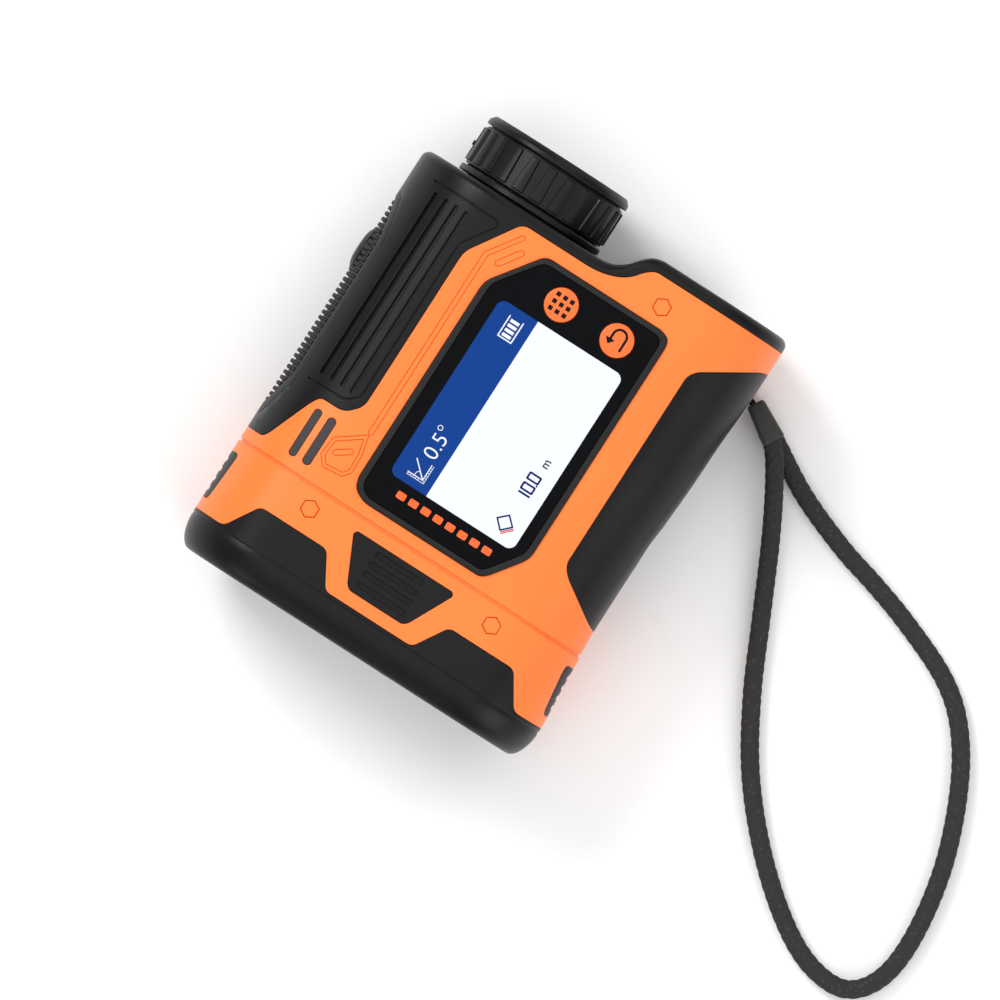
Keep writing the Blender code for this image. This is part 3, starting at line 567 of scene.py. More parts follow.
def turned(name, profile, centre, axis="Y", look=None, steps=72):
    """A closed (radius, height) profile turned about an axis. Radius 0 makes a pole."""
    place, (across, up) = AXES[axis], centre
    points, rows = [], []
    for radius, height in profile:
        if radius == 0:
            rows.append([len(points)] * steps)
            points.append(place(across, up, height))
            continue
        rows.append(list(range(len(points), len(points) + steps)))
        for k in range(steps):
            angle = 2 * math.pi * (k + 0.5) / steps
            points.append(place(across + radius * math.cos(angle), up + radius * math.sin(angle), height))
    faces = []
    closed = profile[0][0] > 0 and profile[-1][0] > 0
    for lower, upper in list(zip(rows, rows[1:])) + ([(rows[-1], rows[0])] if closed else []):
        for k in range(steps):
            after = (k + 1) % steps
            face = tuple(dict.fromkeys([lower[k], lower[after], upper[after], upper[k]]))
            if len(face) > 2:
                faces.append(face)
    return solid(name, points, faces, look)


def softened(profile, by=0.2):
    """A turned profile with its corners cut back by a small chamfer, apart from those on the axis."""
    made = []
    count = len(profile)
    for index, here in enumerate(profile):
        here = Vector(here)
        before, after = Vector(profile[index - 1]), Vector(profile[(index + 1) % count])
        if here.x == 0 or (before.x == 0 and index == 0):
            made.append(tuple(here))
            continue
        for other in (before, after):
            reach = min(by, (other - here).length * 0.4)
            made.append(tuple(here + (other - here).normalized() * reach))
    return made


def rod(name, radius, low, high, centre, axis="Y", look=None, steps=72):
    return turned(name, [(0, low), (radius, low), (radius, high), (0, high)], centre, axis, look, steps)


def ribbon(points, width, caps=5):
    """The outline of a line of constant width with round ends."""
    ends = [Vector(point) for point in points]
    sides = ([], [])
    for index, here in enumerate(ends):
        before, after = ends[max(index - 1, 0)], ends[min(index + 1, len(ends) - 1)]
        along = (after - before).normalized()
        across = Vector((-along.y, along.x)) * width / 2
        if 0 < index < len(ends) - 1:
            first, second = (here - before).normalized(), (after - here).normalized()
            across /= max(across.normalized().dot(Vector((-first.y, first.x))), 0.6)
            along = (first + second).normalized()
        sides[0].append(here + across)
        sides[1].append(here - across)
    caps_made = []
    turns = [math.pi * k / caps for k in range(1, caps)]
    for here, toward in ((ends[-1], ends[-1] - ends[-2]), (ends[0], ends[0] - ends[1])):
        along = toward.normalized() * width / 2
        across = Vector((-along.y, along.x))
        caps_made.append([here + along * math.sin(turn) + across * math.cos(turn) for turn in turns])
    loop = sides[0] + caps_made[0] + sides[1][::-1] + caps_made[1]
    return [tuple(point) for point in loop]


def rounded(x0, x1, z0, z1, radius, steps=8):
    """A rectangle with round corners."""
    left, right, low, high = x0 + radius, x1 - radius, z0 + radius, z1 - radius
    points = []
    for x, z, start in ((right, high, 0), (left, high, 90), (left, low, 180), (right, low, 270)):
        for step in range(steps + 1):
            turn = math.radians(start + 90 * step / steps)
            points.append((x + radius * math.cos(turn), z + radius * math.sin(turn)))
    return points


def merged(name, objects, look):
    """One object that holds the meshes of several tools, which are removed."""
    work = bmesh.new()
    for obj in objects:
        TOOLS.remove(obj)
        work.from_mesh(obj.data)
        bpy.data.objects.remove(obj)
    mesh = bpy.data.meshes.new(name)
    work.to_mesh(mesh)
    work.free()
    smooth(mesh)
    return new_object(name, mesh, look)


# ---------------------------------------------------------------- view, light and floor


def make_stage():
    lens, sensor, view_width = 800.0, 36.0, 0.200
    camera = bpy.data.objects.new("camera", bpy.data.cameras.new("camera"))
    camera.data.lens = lens
    camera.data.sensor_width = sensor
    camera.data.clip_end = 50.0
    camera.location = (0.00945, -0.01124, TOP * MM + view_width * lens / sensor)
    camera.rotation_euler = (0.0, 0.0, math.radians(32.7))
    bpy.context.scene.collection.objects.link(camera)
    bpy.context.scene.camera = camera
    floor = rod("floor", 4000.0, -20.0, -0.05, (0.0, 0.0), "Z", None, 96)
    TOOLS.remove(floor)
    made, _, shader = shader_of("floor_pale")
    set_up(shader, Base_Color=(0.88, 0.88, 0.88, 1.0), Roughness=0.9, Specular_IOR_Level=0.1)
    floor.data.materials.append(made)
    lights = (
        ("key", (-1.15, 0.45, 1.15), 0.65, 17.0),
        ("overhead", (0.1, 0.0, 1.9), 2.4, 23.0),
        ("side", (1.3, -0.5, 0.7), 1.0, 10.0),
        ("front", (-0.5, -1.4, 0.7), 0.8, 5.0),
        ("rear", (0.3, 1.5, 0.8), 0.9, 6.0),
    )
    for name, place, size, power in lights:
        lamp = bpy.data.lights.new(name, "AREA")
        lamp.energy = power
        lamp.size = size
        lamp.shape = "SQUARE"
        obj = bpy.data.objects.new(name, lamp)
        obj.location = place
        toward = Vector((0.0, 0.0, 0.02)) - Vector(place)
        obj.rotation_euler = toward.to_track_quat("-Z", "Y").to_euler()
        bpy.context.scene.collection.objects.link(obj)
    world = bpy.data.worlds.new("world")
    bpy.context.scene.world = world
    world.use_nodes = True
    set_up(world.node_tree.nodes["Background"], Color=(1.0, 1.0, 1.0, 1.0), Strength=0.3)
    bpy.context.scene.view_settings.view_transform = "Standard"


# ---------------------------------------------------------------- strap


def path_length(points):
    return sum((b - a).length for a, b in zip(points, points[1:]))


def resampled(points, spacing):
    """Evenly spaced points along a fine path."""
    total = path_length(points)
    count = max(2, round(total / spacing))
    made, index, run = [points[0]], 0, 0.0
    for k in range(1, count):
        target = total * k / count
        while run + (points[index + 1] - points[index]).length < target:
            run += (points[index + 1] - points[index]).length
            index += 1
        step = points[index + 1] - points[index]
        made.append(points[index] + step * ((target - run) / step.length))
    return made + [points[-1]]


def squarish(sides, power):
    """Steps round a circle drawn out towards a square: the angle, and both coordinates."""
    for k in range(sides):
        turn = 2 * math.pi * k / sides
        x, z = math.cos(turn), math.sin(turn)
        yield turn, math.copysign(abs(x) ** power, x), math.copysign(abs(z) ** power, z)


def flat_tube(name, path, half_width, half_height, relief, look):
    """A flattened tube along a path that stays level, with crossed-cord relief on its skin."""
    points = []
    sides = 28
    count = len(path)
    spacing = path_length(path) / (count - 1)
    for index, here in enumerate(path):
        before, after = path[max(index - 1, 0)], path[min(index + 1, count - 1)]
        along = (after - before).normalized()
        across = along.cross(Vector((0.0, 0.0, 1.0))).normalized()
        up = across.cross(along)
        wave = 2 * math.pi * (index * spacing / BRAID_PITCH)
        for turn, x, z in squarish(sides, 0.8):
            swell = 1.0 + relief * (max(math.sin(wave + 6 * turn), math.sin(wave - 6 * turn)) - 0.6)
            points.append(tuple(here + across * (half_width * x * swell) + up * (half_height * z * swell)))
    return solid(name, points, tube(count, sides), look, 80.0)


def make_strap():
    path = resampled(catmull(STRAP_ROUTE, 24), 0.4)
    braid = flat_tube("strap_loop", path, BRAID_WIDTH / 2, 1.25, 0.07, "braid")
    settle(braid, ROOT, ["strap_braid"])
    clasp = make_clasp()
    string = bpy.data.curves.new("strap_thread", "CURVE")
    string.dimensions = "3D"
    string.bevel_depth = STRING_WIDTH / 2 * MM
    string.bevel_resolution = 4
    string.use_fill_caps = True
    string_path = resampled(catmull(STRING_ROUTE, 10), 0.5)
    spline = string.splines.new("POLY")
    spline.points.add(len(string_path) - 1)
    for spot, point in zip(spline.points, string_path):
        spot.co = (*(point * MM), 1.0)
    thread = new_object("strap_thread", string, "string")
    settle(thread, ROOT, ["strap_string"])


def make_clasp():
    """The moulded end piece, narrower at the string than at the braid."""
    along, across = Vector((0.857, -0.515, 0.0)), Vector((0.515, 0.857, 0.0))
    start = Vector((42.2, 33.0, 4.85))
    # Each section: distance along, half width, half height.
    sections = [
        (0.0, 1.5, 4.0), (0.12, 1.72, 4.25), (0.35, 1.85, 4.42), (0.7, 1.92, 4.5), (4.3, 2.15, 4.52),
        (7.9, 2.4, 4.52), (8.25, 2.38, 4.45), (8.48, 2.2, 4.25), (8.6, 1.95, 4.0),
    ]
    sides = 40
    points = []
    for run, half, tall in sections:
        for _, x, z in squarish(sides, 0.3):
            points.append(tuple(start + along * run + across * (half * x) + Vector((0.0, 0.0, tall * z))))
    clasp = solid("clasp", points, tube(len(sections), sides), "clasp", 40.0)
    settle(clasp, ROOT, ["strap_clasp"])
    return clasp


# ---------------------------------------------------------------- body


def cutter(outline, low=UNDER, high=PAST, axis="Z"):
    return prism("cutter", outline, low, high, None, axis)


def core(inset, top=None):
    """The inside of the body, from inset below its skin."""
    return hull("core", inset, AHEAD, top)


def skin_tool(outline, inside_it, low=UNDER, high=PAST, axis="Z"):
    """A cutter that reaches down from the skin as far as a core."""
    return combine(cutter(outline, low, high, axis), [inside_it])


def hex_outline(x, y, radius):
    turns = [math.pi * k / 3 for k in range(6)]
    return [(x + radius * math.sin(turn), y + radius * math.cos(turn)) for turn in turns]


def wells(spots, low, high):
    """The holes that screw heads sit in."""
    return merged("wells", [cutter(hex_outline(x, y, HEX_R + 0.1), low, high) for _, x, y in spots], None)


def make_body():
    rear_region, under_region = filleted(REAR_REGION, 1.6), filleted(UNDER_REGION, 1.6)
    pad_region, bumper_region = filleted(PAD_REGION, 2.0), filleted(BUMPER_REGION, 1.2)
    core_skin, core_seat, core_thin, core_floor = core(SKIN), core(SEAT), core(INLAY_SEAT), core(INLAY_DEPTH)
    core_line, core_groove, core_moat, cavity = core(0.35), core(0.55), core(0.2), core(WALL)
    rebate = core(0.38, -28.2)
    seat_rear = skin_tool(grown(rear_region, JOINT), core_seat)
    seat_under = skin_tool(grown(under_region, JOINT), core_seat)
    seat_bumper = skin_tool(grown(bumper_region, JOINT), core_seat)
    neck = rod("neck_hole", NECK_R + GAP, 30.0, PAST, (EYE_X, MID))
    button = rod("button_hole", BUTTON_R + GAP, -PAST, -30.0, (BUTTON_Y, MID), "X")
    tripod = rod("tripod_hole", TRIPOD_R + GAP, 30.0, PAST, (TRIPOD_Y, MID), "X")
    pocket = box("pocket", *POCKET)
    x, z = PORT
    port_hole = box("port_hole", (x - 5.0, 36.0, z - 2.6), (x + 5.0, PAST, z + 2.6))
    port_seat = cutter(rounded(x - 6.8, x + 6.8, z - 4.8, z + 4.8, 1.2), 45.1, PAST, "Y")
    bezel_seat = cutter(grown(filleted(BEZEL, 1.6), JOINT), BEZEL_FOOT - GAP)
    window = cutter(WINDOW, 30.0)
    wells_near, wells_front = (wells(spots, TOP - WELL_DEPTH, PAST) for spots in (SCREWS[:1], SCREWS[1:]))
    wells_far, wells_front_far = (wells(spots, UNDER, WELL_DEPTH) for spots in (SCREWS[:1], SCREWS[1:]))

    inlay_seats = []
    for name, x0, x1 in INLAYS:
        outline = rounded(x0, x1, -26.3, -15.5, (x1 - x0) / 2 - 0.02)
        inlay_seats.append(skin_tool(grown(outline, JOINT), core_thin, MID))
        piece = crop(hull(name + "_skin", 0, ARMOUR_FOOT, 0.0, "inlay"), outline, MID)
        settle(combine(piece, [core_floor]), ROOT, [name])

    shared = [cavity, seat_rear, seat_under, rebate, neck, button, tripod, pocket, port_hole]
    engraved = []
    for name, outline in emboss_shapes().items():
        moat = skin_tool(grown(outline, 0.14), core_moat, 30.0)
        if name == "emboss_shield":
            combine(moat, [cutter(grown(SHIELD, -0.44), MID)])
        engraved.append(moat)
    whole = [(-60, -70), (60, -70), (60, 70), (-60, 70)]
    half_gap = 0.06
    near_only = [bezel_seat, window, wells_near, *inlay_seats, *engraved]
    near = hull("shell_near", 0, SEAM_TOP, None, "shell")
    combine(near, [cutter(whole, UNDER, MID + half_gap), *shared, *near_only])
    settle(near, ROOT, ["housing_near"])
    far = hull("shell_far", 0, SEAM_TOP, None, "shell")
    combine(far, [cutter(whole, MID - half_gap), *shared, wells_far])
    settle(far, ROOT, ["housing_far"])

    seats = []
    face, side_face = filleted(GRILLE_FACE, 0.9), filleted(SIDE_GRILLE, 1.4)
    near_slots = [cutter(rounded(-5.8, 5.8, y - 0.65, y + 0.65, 0.6, 5), TOP - 0.6) for y in GRILLE_SLOTS]
    far_slots = [cutter(rounded(-5.8, 5.8, y - 0.65, y + 0.65, 0.6, 5), UNDER, 0.6) for y in GRILLE_SLOTS]
    side_slots = [rounded(y - 0.5, y + 0.5, MID - 5.5, MID + 5.5, 0.45, 5) for y in SIDE_SLOTS]
    grilles = (
        ("grille_near", face, MID, PAST, "Z", near_slots),
        ("grille_far", face, UNDER, MID, "Z", far_slots),
        ("grille_top", side_face, -PAST, -30.0, "X", None),
        ("grille_under", side_face, 30.0, PAST, "X", None),
    )
    for name, outline, low, high, axis, slots in grilles:
        seats.append(skin_tool(grown(outline, JOINT), core_thin, low, high, axis))
        piece = crop(hull(name + "_skin", 0, -44.0, -31.0, "inlay_dark"), outline, low, high, axis)
        slots = slots or [skin_tool(slot, core_groove, low, high, axis) for slot in side_slots]
        settle(combine(piece, [core_floor, *slots]), ROOT, [name])

    lip = combine(hull("front_lip", 0.42, -29.7, -28.3, "shell"), [core(2.6)])
    settle(lip, ROOT, ())
    sleeve = hull("shell_front", 0, SPIGOT_END, SEAM_FOOT, "shell")
    combine(sleeve, [seat_bumper, cavity, *seats, wells_front, wells_front_far])
    settle(sleeve, ROOT, ["front_housing"])

    bumper = crop(hull("bumper", 0, FRONT_Y, -36.0, "rubber", NOSE), bumper_region)
    wall = 5.4
    mouth = rounded(LEFT + wall, -LEFT - wall, wall, TOP - wall, CORNER - wall, 18)
    flare = slab("mouth_flare", mouth, -40.0, -60.0, 0.01, None, "Y")
    combine(bumper, [hull("bumper_core", SKIN, SPIGOT_END - GAP, 0.0), flare])
    settle(bumper, ROOT, ["front_bumper"])

    rear = crop(hull("armour_rear", 0, ARMOUR_FOOT, None, "rubber"), rear_region)
    pad_hole = cutter(grown(pad_region, 0.05))
    grooves = [skin_tool(ribbon([(x, -8.9), (x, 33.3)], 0.85), core_groove) for x in GROOVES_X]
    grooves.append(skin_tool(ribbon(filleted_line(PANEL_LINE, 1.2), 0.4), core_line))
    combine(rear, [core_skin, pad_hole, neck, port_seat, *grooves])
    settle(rear, ROOT, ["rear_armour"])

    under = crop(hull("armour_under", 0, ARMOUR_FOOT, None, "rubber"), under_region)
    combine(under, [core_skin, tripod, pocket])
    settle(under, ROOT, ["underside_armour"])

    pad = crop(hull("pad_base", 0, ARMOUR_FOOT, None, "pad"), pad_region)
    inner = grown(pad_region, -1.1)
    combine(pad, [core_skin, button, skin_tool(inner, core(0.75))])
    settle(pad, ROOT, ["finger_pad"])
    settle(knurl("pad_knurl", inner), ROOT, ())

    for name, outline in emboss_shapes().items():
        piece = crop(hull(name, -0.1, -PAST, 40.0, "shell"), outline, MID)
        combine(piece, [core_groove])
        if name == "emboss_shield":
            combine(piece, [cutter(grown(SHIELD, -0.3), MID)])
        settle(piece, ROOT, ())


def emboss_shapes():
    """Raised trim beside the screen: a long line, a short bar, and a plain shield with a bar in it."""
    return {
        "emboss_line": ribbon([(-19.5, -13.9), (-19.5, 28.7), (-15.0, 35.2)], 0.85, 8),
        "emboss_bar": ribbon([(-16.4, 28.4), (-13.6, 32.5)], 1.1, 8),
        "emboss_shield": grown(SHIELD, 0.3),
        "emboss_shield_bar": ribbon([(-23.3, -21.0), (-20.9, -19.3)], 1.0, 8),
    }


def on_body(run, y, lift):
    """A point on the left flank, lift above its skin, at a distance run round from the flank's middle."""
    half_flat = MID - CORNER
    if abs(run) <= half_flat:
        return (LEFT - lift, y, MID + run)
    turn = (abs(run) - half_flat) / CORNER
    radius = CORNER + lift
    z = half_flat + radius * math.sin(turn)
    return (LEFT + CORNER - radius * math.cos(turn), y, MID + math.copysign(z, run))


def inside(point, outline):
    x, y = point
    found = False
    for (x0, y0), (x1, y1) in zip(outline, outline[1:] + outline[:1]):
        if (y0 > y) != (y1 > y) and x < x0 + (x1 - x0) * (y - y0) / (y1 - y0):
            found = not found
    return found


def knurl(name, outline):
    """Rows of small raised blocks on the finger pad, clear of the button."""
    pitch, half, tip = 1.3, 0.46, 0.30
    points, faces = [], []
    for column in range(-12, 13):
        for row in range(-19, 25):
            run, y = column * pitch, row * pitch + 0.2
            if math.hypot(y - BUTTON_Y, on_body(run, y, 0.0)[2] - MID) < BUTTON_R + 1.2:
                continue
            corners = [(on_body(run + a, y + b, 0.0)[0], y + b) for a in (-half, half) for b in (-half, half)]
            if not all(inside(corner, outline) for corner in corners):
                continue
            start = len(points)
            for size, lift in ((half, -0.9), (half, -0.32), (tip, -0.02)):
                for a, b in ((-1, -1), (1, -1), (1, 1), (-1, 1)):
                    points.append(on_body(run + a * size, y + b * size, lift))
            faces += [tuple(start + index for index in face) for face in tube(3, 4)]
    return solid(name, points, faces, "pad", 25.0)


# ---------------------------------------------------------------- screen panel


def sheet_piece(name, outline, low, high, look):
    settle(prism(name, outline, low, high, look), ROOT, ())


def graphic(name, outlines, low, high, look, body=ROOT, slot="lcd_panel"):
    """Flat marks as one thin piece."""
    settle(merged(name, [cutter(outline, low, high) for outline in outlines], look), body, ())


def stroke(points, width):
    return ribbon(points, width, 6)


def words(name, text, size, place, look, low, weight):
    """Lettering for a number or a unit, lying on the window and turned to read along +Y."""
    curve = bpy.data.curves.new(name, "FONT")
    curve.body = text
    curve.size = size * MM
    curve.extrude = 0.03 * MM
    curve.offset = weight * MM
    obj = bpy.data.objects.new(name, curve)
    obj.location = (place[0] * MM, place[1] * MM, low * MM)
    obj.rotation_euler = (0.0, 0.0, math.radians(90.0))
    bpy.context.scene.collection.objects.link(obj)
    bpy.context.view_layer.update()
    mesh = bpy.data.meshes.new_from_object(obj.evaluated_get(bpy.context.evaluated_depsgraph_get()))
    mesh.transform(obj.matrix_world)
    bpy.data.objects.remove(obj)
    mesh.materials.clear()
    settle(new_object(name, mesh, look), ROOT, ())


def seven_segment(digit, x, y, height, width, thick):
    """The outlines of one digit's bars. It reads along +Y, and its top is at -X."""
    on = {"0": "abcdef", "1": "bc"}[digit]
    half = height / 2
    gap = thick * 0.18
    spots = {
        "a": ((0, gap), (0, width - gap)), "b": ((gap, width), (half - gap, width)),
        "c": ((half + gap, width), (height - gap, width)), "d": ((height, gap), (height, width - gap)),
        "e": ((half + gap, 0), (height - gap, 0)), "f": ((gap, 0), (half - gap, 0)),
    }
    bars = [bar for key, bar in spots.items() if key in on]
    return [stroke([(x + a[0], y + a[1]), (x + b[0], y + b[1])], thick) for a, b in bars]


def make_panel():
    bezel = slab("bezel_frame", filleted(BEZEL, 1.6), BEZEL_FOOT, BEZEL_TOP, 0.3, "bezel")
    combine(bezel, [cutter(grown(filleted(GLASS, 1.4), 0.06), 42.9), cutter(WINDOW, 30.0)])
    settle(bezel, ROOT, ["screen_bezel"])
    glass = slab("window_glass", filleted(GLASS, 1.4), 43.2, GLASS_TOP, 0.1, "glass")
    combine(glass, [rod("key_gap", KEY_R + 0.12, 40.0, 50.0, (x, y), "Z") for _, x, y, _ in KEYS])
    settle(glass, ROOT, ["screen_glass"])

    low, high, sunk = GLASS_TOP, GLASS_TOP + 0.03, GLASS_TOP - 0.02
    lit = rounded(-12.2, 17.0, -18.6, 22.9, 1.7)
    band = [(x, y) for x, y in lit if x < -3.4] + [(-3.4, -18.6), (-3.4, 22.9)]
    band.sort(key=lambda p: math.atan2(p[1] - 2.0, p[0] + 7.0))
    sheet_piece("display_area", lit, sunk, low + 0.01, "lcd_white")
    sheet_piece("display_band", band, sunk, low + 0.02, "lcd_blue")

    icons = [stroke([(x, 20.9), (x, 16.5)], 0.28) for x in (-8.75, -5.65)]
    icons.append(stroke([(-8.75, 16.3), (-5.65, 16.3)], 0.28))
    for y in (20.2, 19.15, 18.1, 17.05):
        icons.append(rounded(-8.2, -6.2, y - 0.34, y + 0.34, 0.08, 2))
    icons.append(stroke([(-9.2, -16.3), (-5.7, -16.3), (-5.7, -12.8)], 0.2))
    icons.append(stroke([(-5.7, -16.3), (-9.0, -13.2)], 0.24))
    icons.append(stroke([(-9.2, -16.8), (-5.2, -16.8), (-5.2, -12.8)], 0.12))
    icons += [stroke([(-5.7, y), (-5.2, y - 0.3)], 0.1) for y in (-13.2, -13.8, -14.4, -15.0, -15.6, -16.2)]
    icons += [stroke([(x, -16.3), (x - 0.3, -16.8)], 0.1) for x in (-8.8, -8.2, -7.6, -7.0, -6.4)]
    icons.append(stroke([(-7.7, -16.3), (-7.6, -15.5), (-7.0, -15.0)], 0.14))
    graphic("display_icons", icons, low, high, "lcd_white")
    words("display_tilt", "0.5°", 4.5, (-5.7, -11.9), "lcd_white", low + 0.01, -0.035)
    words("display_unit", "m", 2.5, (14.1, -1.2), "lcd_text", low + 0.01, 0.03)

    marks = []
    for digit, y in (("1", -9.0), ("0", -6.9), ("0", -4.6)):
        marks += seven_segment(digit, 11.6, y, 2.5, 1.35, 0.42)
    marks.append(rounded(13.95, 14.35, -5.2, -4.85, 0.1, 2))
    diamond = [(12.7, -12.8), (14.5, -14.5), (12.7, -16.3), (10.9, -14.5), (12.7, -12.8)]
    marks += [stroke(side, 0.34) for side in zip(diamond, diamond[1:])]
    graphic("display_digits", marks, low, high, "lcd_ink")
    for k, off in enumerate((0.38 * 0.7, 0.68 * 0.7)):
        line = stroke([(14.5 + off, -14.5 - off), (12.7 + off, -16.3 - off)], 0.2)
        sheet_piece("display_target_%d" % k, line, low, high, "lcd_red")
    bars = [rounded(-8.6 + k * 2.9, -6.6 + k * 2.9, -22.0, -20.5, 0.3, 3) for k in range(8)]
    graphic("window_marks", bars, sunk, low + 0.02, "mark", ROOT, "orange_key")

    profile = [
        (0, 39.2), (1.5, 39.2), (1.5, 41.8), (4.05, 41.8), (4.05, 42.6), (KEY_R, 42.6), (KEY_R, 43.75),
        (KEY_R - 0.07, 43.9), (KEY_R - 0.22, 43.97), (0, 44.0),
    ]
    for name, x, y, body in KEYS:
        settle(turned(name + "_cap", profile, (x, y), "Z", "key"), body, [name])
    x, y = KEYS[0][1:3]
    side = 0.47
    squares = [
        rounded(x + a - side, x + a + side, y + b - side, y + b + side, 0.08, 2)
        for a in (-1.6, 0.0, 1.6) for b in (-1.6, 0.0, 1.6)
    ]
    x, y = KEYS[1][1:3]
    turns = [math.radians(t) for t in range(0, 181, 15)]
    bow = [(x + 0.1 + 1.45 * math.cos(turn), y + 0.9 + 1.45 * math.sin(turn)) for turn in turns]
    hook = stroke([(x + 1.55, y - 1.5), *bow, (x - 1.35, y - 0.2)], 0.52)
    head = [(x - 2.45, y - 0.25), (x - 0.25, y - 0.25), (x - 1.35, y - 1.5)]
    graphic("key_menu_mark", squares, *KEY_MARK, "ink", "menu_key", "black_rubber")
    graphic("key_back_mark", [hook, head], *KEY_MARK, "ink", "back_key", "black_rubber")


# ---------------------------------------------------------------- eyepiece and fittings


def fit(name, profile, centre, axis, look, steps, body, stands_for):
    """A turned piece, on its body."""
    settle(turned(name, profile, centre, axis, look, steps), body, stands_for)


def focus_ring():
    """The grip ring, with keystone ribs that widen towards the body."""
    ribs, base, rise = 24, 16.0, 0.5
    foot, head, rib_foot, rib_head = 42.3, 50.9, 42.9, 50.2
    rib_wide, rib_narrow = 1.25, 0.82
    # Each level: height, radius between the ribs, how far the ribs stand out.
    levels = [
        (foot, 15.85, 0.0), (foot + 0.15, base, 0.0), (rib_foot - 0.12, base, 0.0), (rib_foot, base, rise),
        (44.4, base, rise), (46.6, base, rise), (48.6, base, rise), (rib_head, base, rise),
        (rib_head + 0.14, base, 0.0), (50.62, base, 0.0), (50.7, 15.75, 0.0), (head, 15.7, 0.0),
    ]
    between_ribs = math.pi * base / ribs
    points = []
    for y, radius_here, out in levels:
        share = min(max((y - rib_foot) / (rib_head - rib_foot), 0.0), 1.0)
        half = rib_wide + (rib_narrow - rib_wide) * share
        steps = [(-half - 0.13, 0), (-half - 0.05, 0.45), (-half + 0.08, 0.92), (-half + 0.25, 1), (0.0, 1)]
        steps += [(-off, up) for off, up in steps[3::-1]] + [(between_ribs - 0.3, 0), (between_ribs + 0.3, 0)]
        for rib in range(ribs):
            for off, up in steps:
                angle = math.pi / 2 + 2 * math.pi * rib / ribs + off / base
                radius = radius_here + out * up
                points.append((EYE_X + radius * math.cos(angle), y, MID + radius * math.sin(angle)))
    around = len(points) // len(levels)
    bore = 13.5
    for y in (head, foot):
        for k in range(around):
            angle = math.pi / 2 + 2 * math.pi * k / around
            points.append((EYE_X + bore * math.cos(angle), y, MID + bore * math.sin(angle)))
    return solid("focus_ring", points, walls(len(levels) + 2, around, True), "ring", 28.0)


def make_eyepiece():
    centre = (EYE_X, MID)
    tube_profile = [
        (NECK_R, 27.0), (NECK_R, 34.0), (15.2, 34.0), (15.2, 36.2), (NECK_R, 36.2), (NECK_R, 40.5),
        (16.5, 40.5),
        (16.5, 41.9), (15.4, 41.95), (15.4, 42.22), (NECK_R, 42.22), (NECK_R, 49.2), (11.5, 49.2),
        (11.5, 27.0),
    ]
    neck = softened(tube_profile, 0.25)
    fit("eyepiece_neck", neck, centre, "Y", "ring", 96, ROOT, ["eyepiece_tube"])
    settle(focus_ring(), "diopter", ["diopter_ring"])
    dot = [(0, -34.0), (0.55, -34.0), (0.55, -33.65), (0.3, -33.4), (0, -33.4)]
    fit("focus_index", dot, (46.4, MID), "X", "ring", 24, "diopter", ())
    cup = [
        (15.3, 50.95), (15.3, 51.2), (16.35, 51.2), (16.5, 51.35), (16.5, 52.05), (16.42, 52.3),
        (15.75, 53.15),
        (15.5, 53.3), (12.9, 53.3), (12.5, 53.15), (10.6, 52.3), (10.4, 52.0), (10.4, 50.2), (13.2, 50.2),
        (13.2, 50.95),
    ]
    fit("eyecup_rim", cup, centre, "Y", "rubber", 96, "diopter", ["eyecup"])
    cell = [
        (11.2, 34.6), (11.2, 48.0), (9.8, 48.0), (9.8, 47.2), (9.65, 47.2), (9.65, 47.0), (9.8, 47.0),
        (9.8, 34.6),
    ]
    metal = "metal_black"
    fit("eyepiece_barrel", cell, centre, "Y", metal, 72, "eye_cell", ["eyepiece_cell"])
    lens = [
        (0, 42.6), (5.0, 42.8), (9.5, 43.6), (9.5, 45.6), (7.5, 46.15), (5.0, 46.6), (2.5, 46.83), (0, 46.9),
    ]
    fit("eyepiece_glass", lens, centre, "Y", "lens_rear", 72, "eye_cell", ["eyepiece_lens"])
    dome = [
        (0, -36.2), (6.0, -36.2), (6.0, -36.9), (BUTTON_R, -36.9), (BUTTON_R, -40.9), (5.15, -41.15),
        (4.85, -41.35),
        (4.3, -41.45), (4.15, -41.6), (3.4, -41.9), (2.4, -42.1), (1.2, -42.18), (0, -42.2),
    ]
    fit("measure_cap", dome, (BUTTON_Y, MID), "X", "rubber", 72, "button", ["measure_button"])


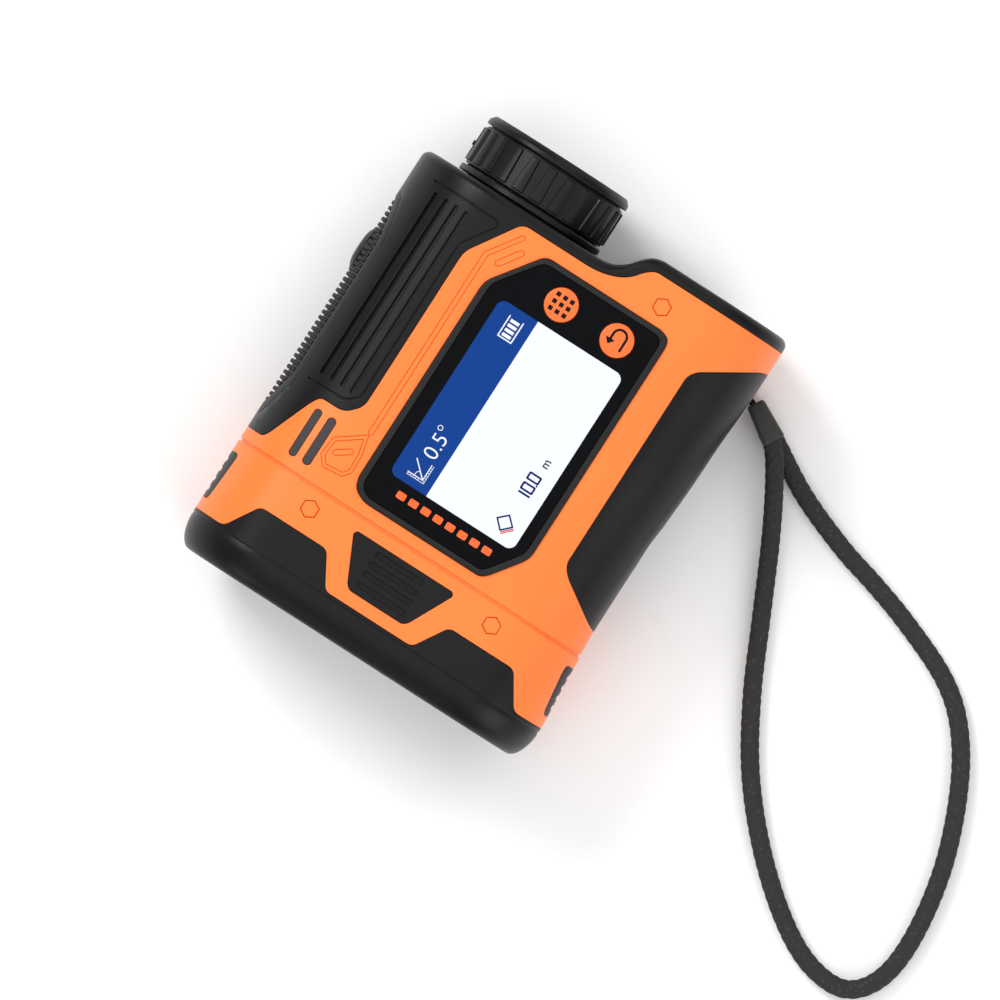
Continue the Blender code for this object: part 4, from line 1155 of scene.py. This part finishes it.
def make_fittings():
    dome = [(0, -46.6), (3.0, -46.55), (6.0, -46.3)]
    large = [*dome, (9.0, -45.85), (11.3, -45.2), (11.3, -42.6), (0, -42.2)]
    small = [*dome, (8.4, -45.9), (10.3, -45.4), (10.3, -43.2), (0, -43.0)]
    spot = (RECEIVER_X, MID)
    fit("front_lens", large, (EYE_X, MID), "Y", "lens", 72, ROOT, ["objective_lens"])
    fit("receiver_glass", small, spot, "Y", "lens_small", 72, ROOT, ["receiver_lens"])
    wall = 3.9
    face = rounded(LEFT + wall + 0.5, -LEFT - wall - 0.5, wall, TOP - wall, CORNER - wall, 18)
    plate = prism("front_face", face, -49.9, -47.4, "plate", "Y")
    holes = ((EYE_X, 12.6), (RECEIVER_X, 11.6), (LASER_X, 2.6))
    combine(plate, [rod("lens_hole", radius, -60.0, -40.0, (x, MID)) for x, radius in holes])
    settle(plate, ROOT, ["front_plate"])
    for name, x, radius in (("objective_trim", EYE_X, 12.55), ("receiver_trim", RECEIVER_X, 11.55)):
        profile = [
            (radius - 0.02, -47.5), (radius - 0.02, -49.88), (radius + 1.0, -49.88), (radius + 0.9, -50.2),
            (radius + 0.3, -50.3), (radius - 0.2, -50.1), (radius - 0.9, -48.4), (radius - 0.95, -47.5),
        ]
        fit(name, profile, (x, MID), "Y", "metal_black", 72, ROOT, ())
    pane = [(0, -47.9), (2.3, -47.9), (2.3, -48.3), (0, -48.35)]
    fit("laser_window", pane, (LASER_X, MID), "Y", "lens", 48, ROOT, ())
    x, z = PORT
    flap = rounded(x - 6.5, x + 6.5, z - 4.5, z + 4.5, 1.1)
    cover = slab("port_flap_cover", flap, 45.4, 46.7, 0.3, "rubber", "Y")
    combine(cover, [cutter(rounded(x - 2.5, x + 2.5, z + 3.2, z + 3.9, 0.3, 3), 46.2, 50.0, "Y")])
    settle(cover, "port_flap", ["port_cover"])
    thread = [
        (0, 31.0), (TRIPOD_R, 31.0), (TRIPOD_R, 38.3), (4.8, 38.6), (4.55, 38.8), (3.6, 38.8), (3.3, 38.5),
    ]
    thread_pitch = 0.72
    for k in range(8):
        thread += [(3.3, 38.3 - k * thread_pitch), (3.05, 37.95 - k * thread_pitch)]
    thread += [(3.3, 32.3), (3.3, 32.0), (0, 32.0)]
    fit("tripod_bush", thread, (TRIPOD_Y, MID), "X", "brass", 64, ROOT, ["tripod_insert"])
    for name, x, y in SCREWS:
        for side, low, high in (("_near", TOP - 1.5, TOP - 0.1), ("_far", 1.5, 0.1)):
            head = slab(name + side + "_head", hex_outline(x, y, HEX_R), low, high, 0.3, "shell")
            settle(head, ROOT, [name + side])


def dress_inner_nodes():
    """Materials for the CAD nodes that stay as they are, most of them sealed inside."""
    looks = {
        "battery": "cell", "battery_cradle": "plate", "detector_board": "board", "laser_module": "metal",
        "lcd_module": "panel_back", "main_board": "board", "measure_board": "board",
        "optical_barrel": "metal_black", "optics_cradle": "plate", "prism_block": "prism",
        "receiver_tube": "metal_black", "reticle_plate": "panel_back", "strap_lug": "metal",
        "strap_pin": "metal", "tact_back": "metal", "tact_measure": "metal", "tact_menu": "metal",
        "usb_board": "board", "usb_socket": "metal",
    }
    for name, look in looks.items():
        obj = NODES[name]
        if not obj.material_slots:
            obj.data.materials.append(LOOK[look])
        for spot in obj.material_slots:
            spot.material = LOOK[look]
        weld = obj.modifiers.new("weld", "WELD")
        weld.merge_threshold = 0.000001
        smooth(obj.data)


def remove_tools():
    for tool in TOOLS:
        bpy.data.objects.remove(tool)
    TOOLS.clear()


make_stage()
make_strap()
make_body()
make_panel()
make_eyepiece()
make_fittings()
dress_inner_nodes()
remove_tools()
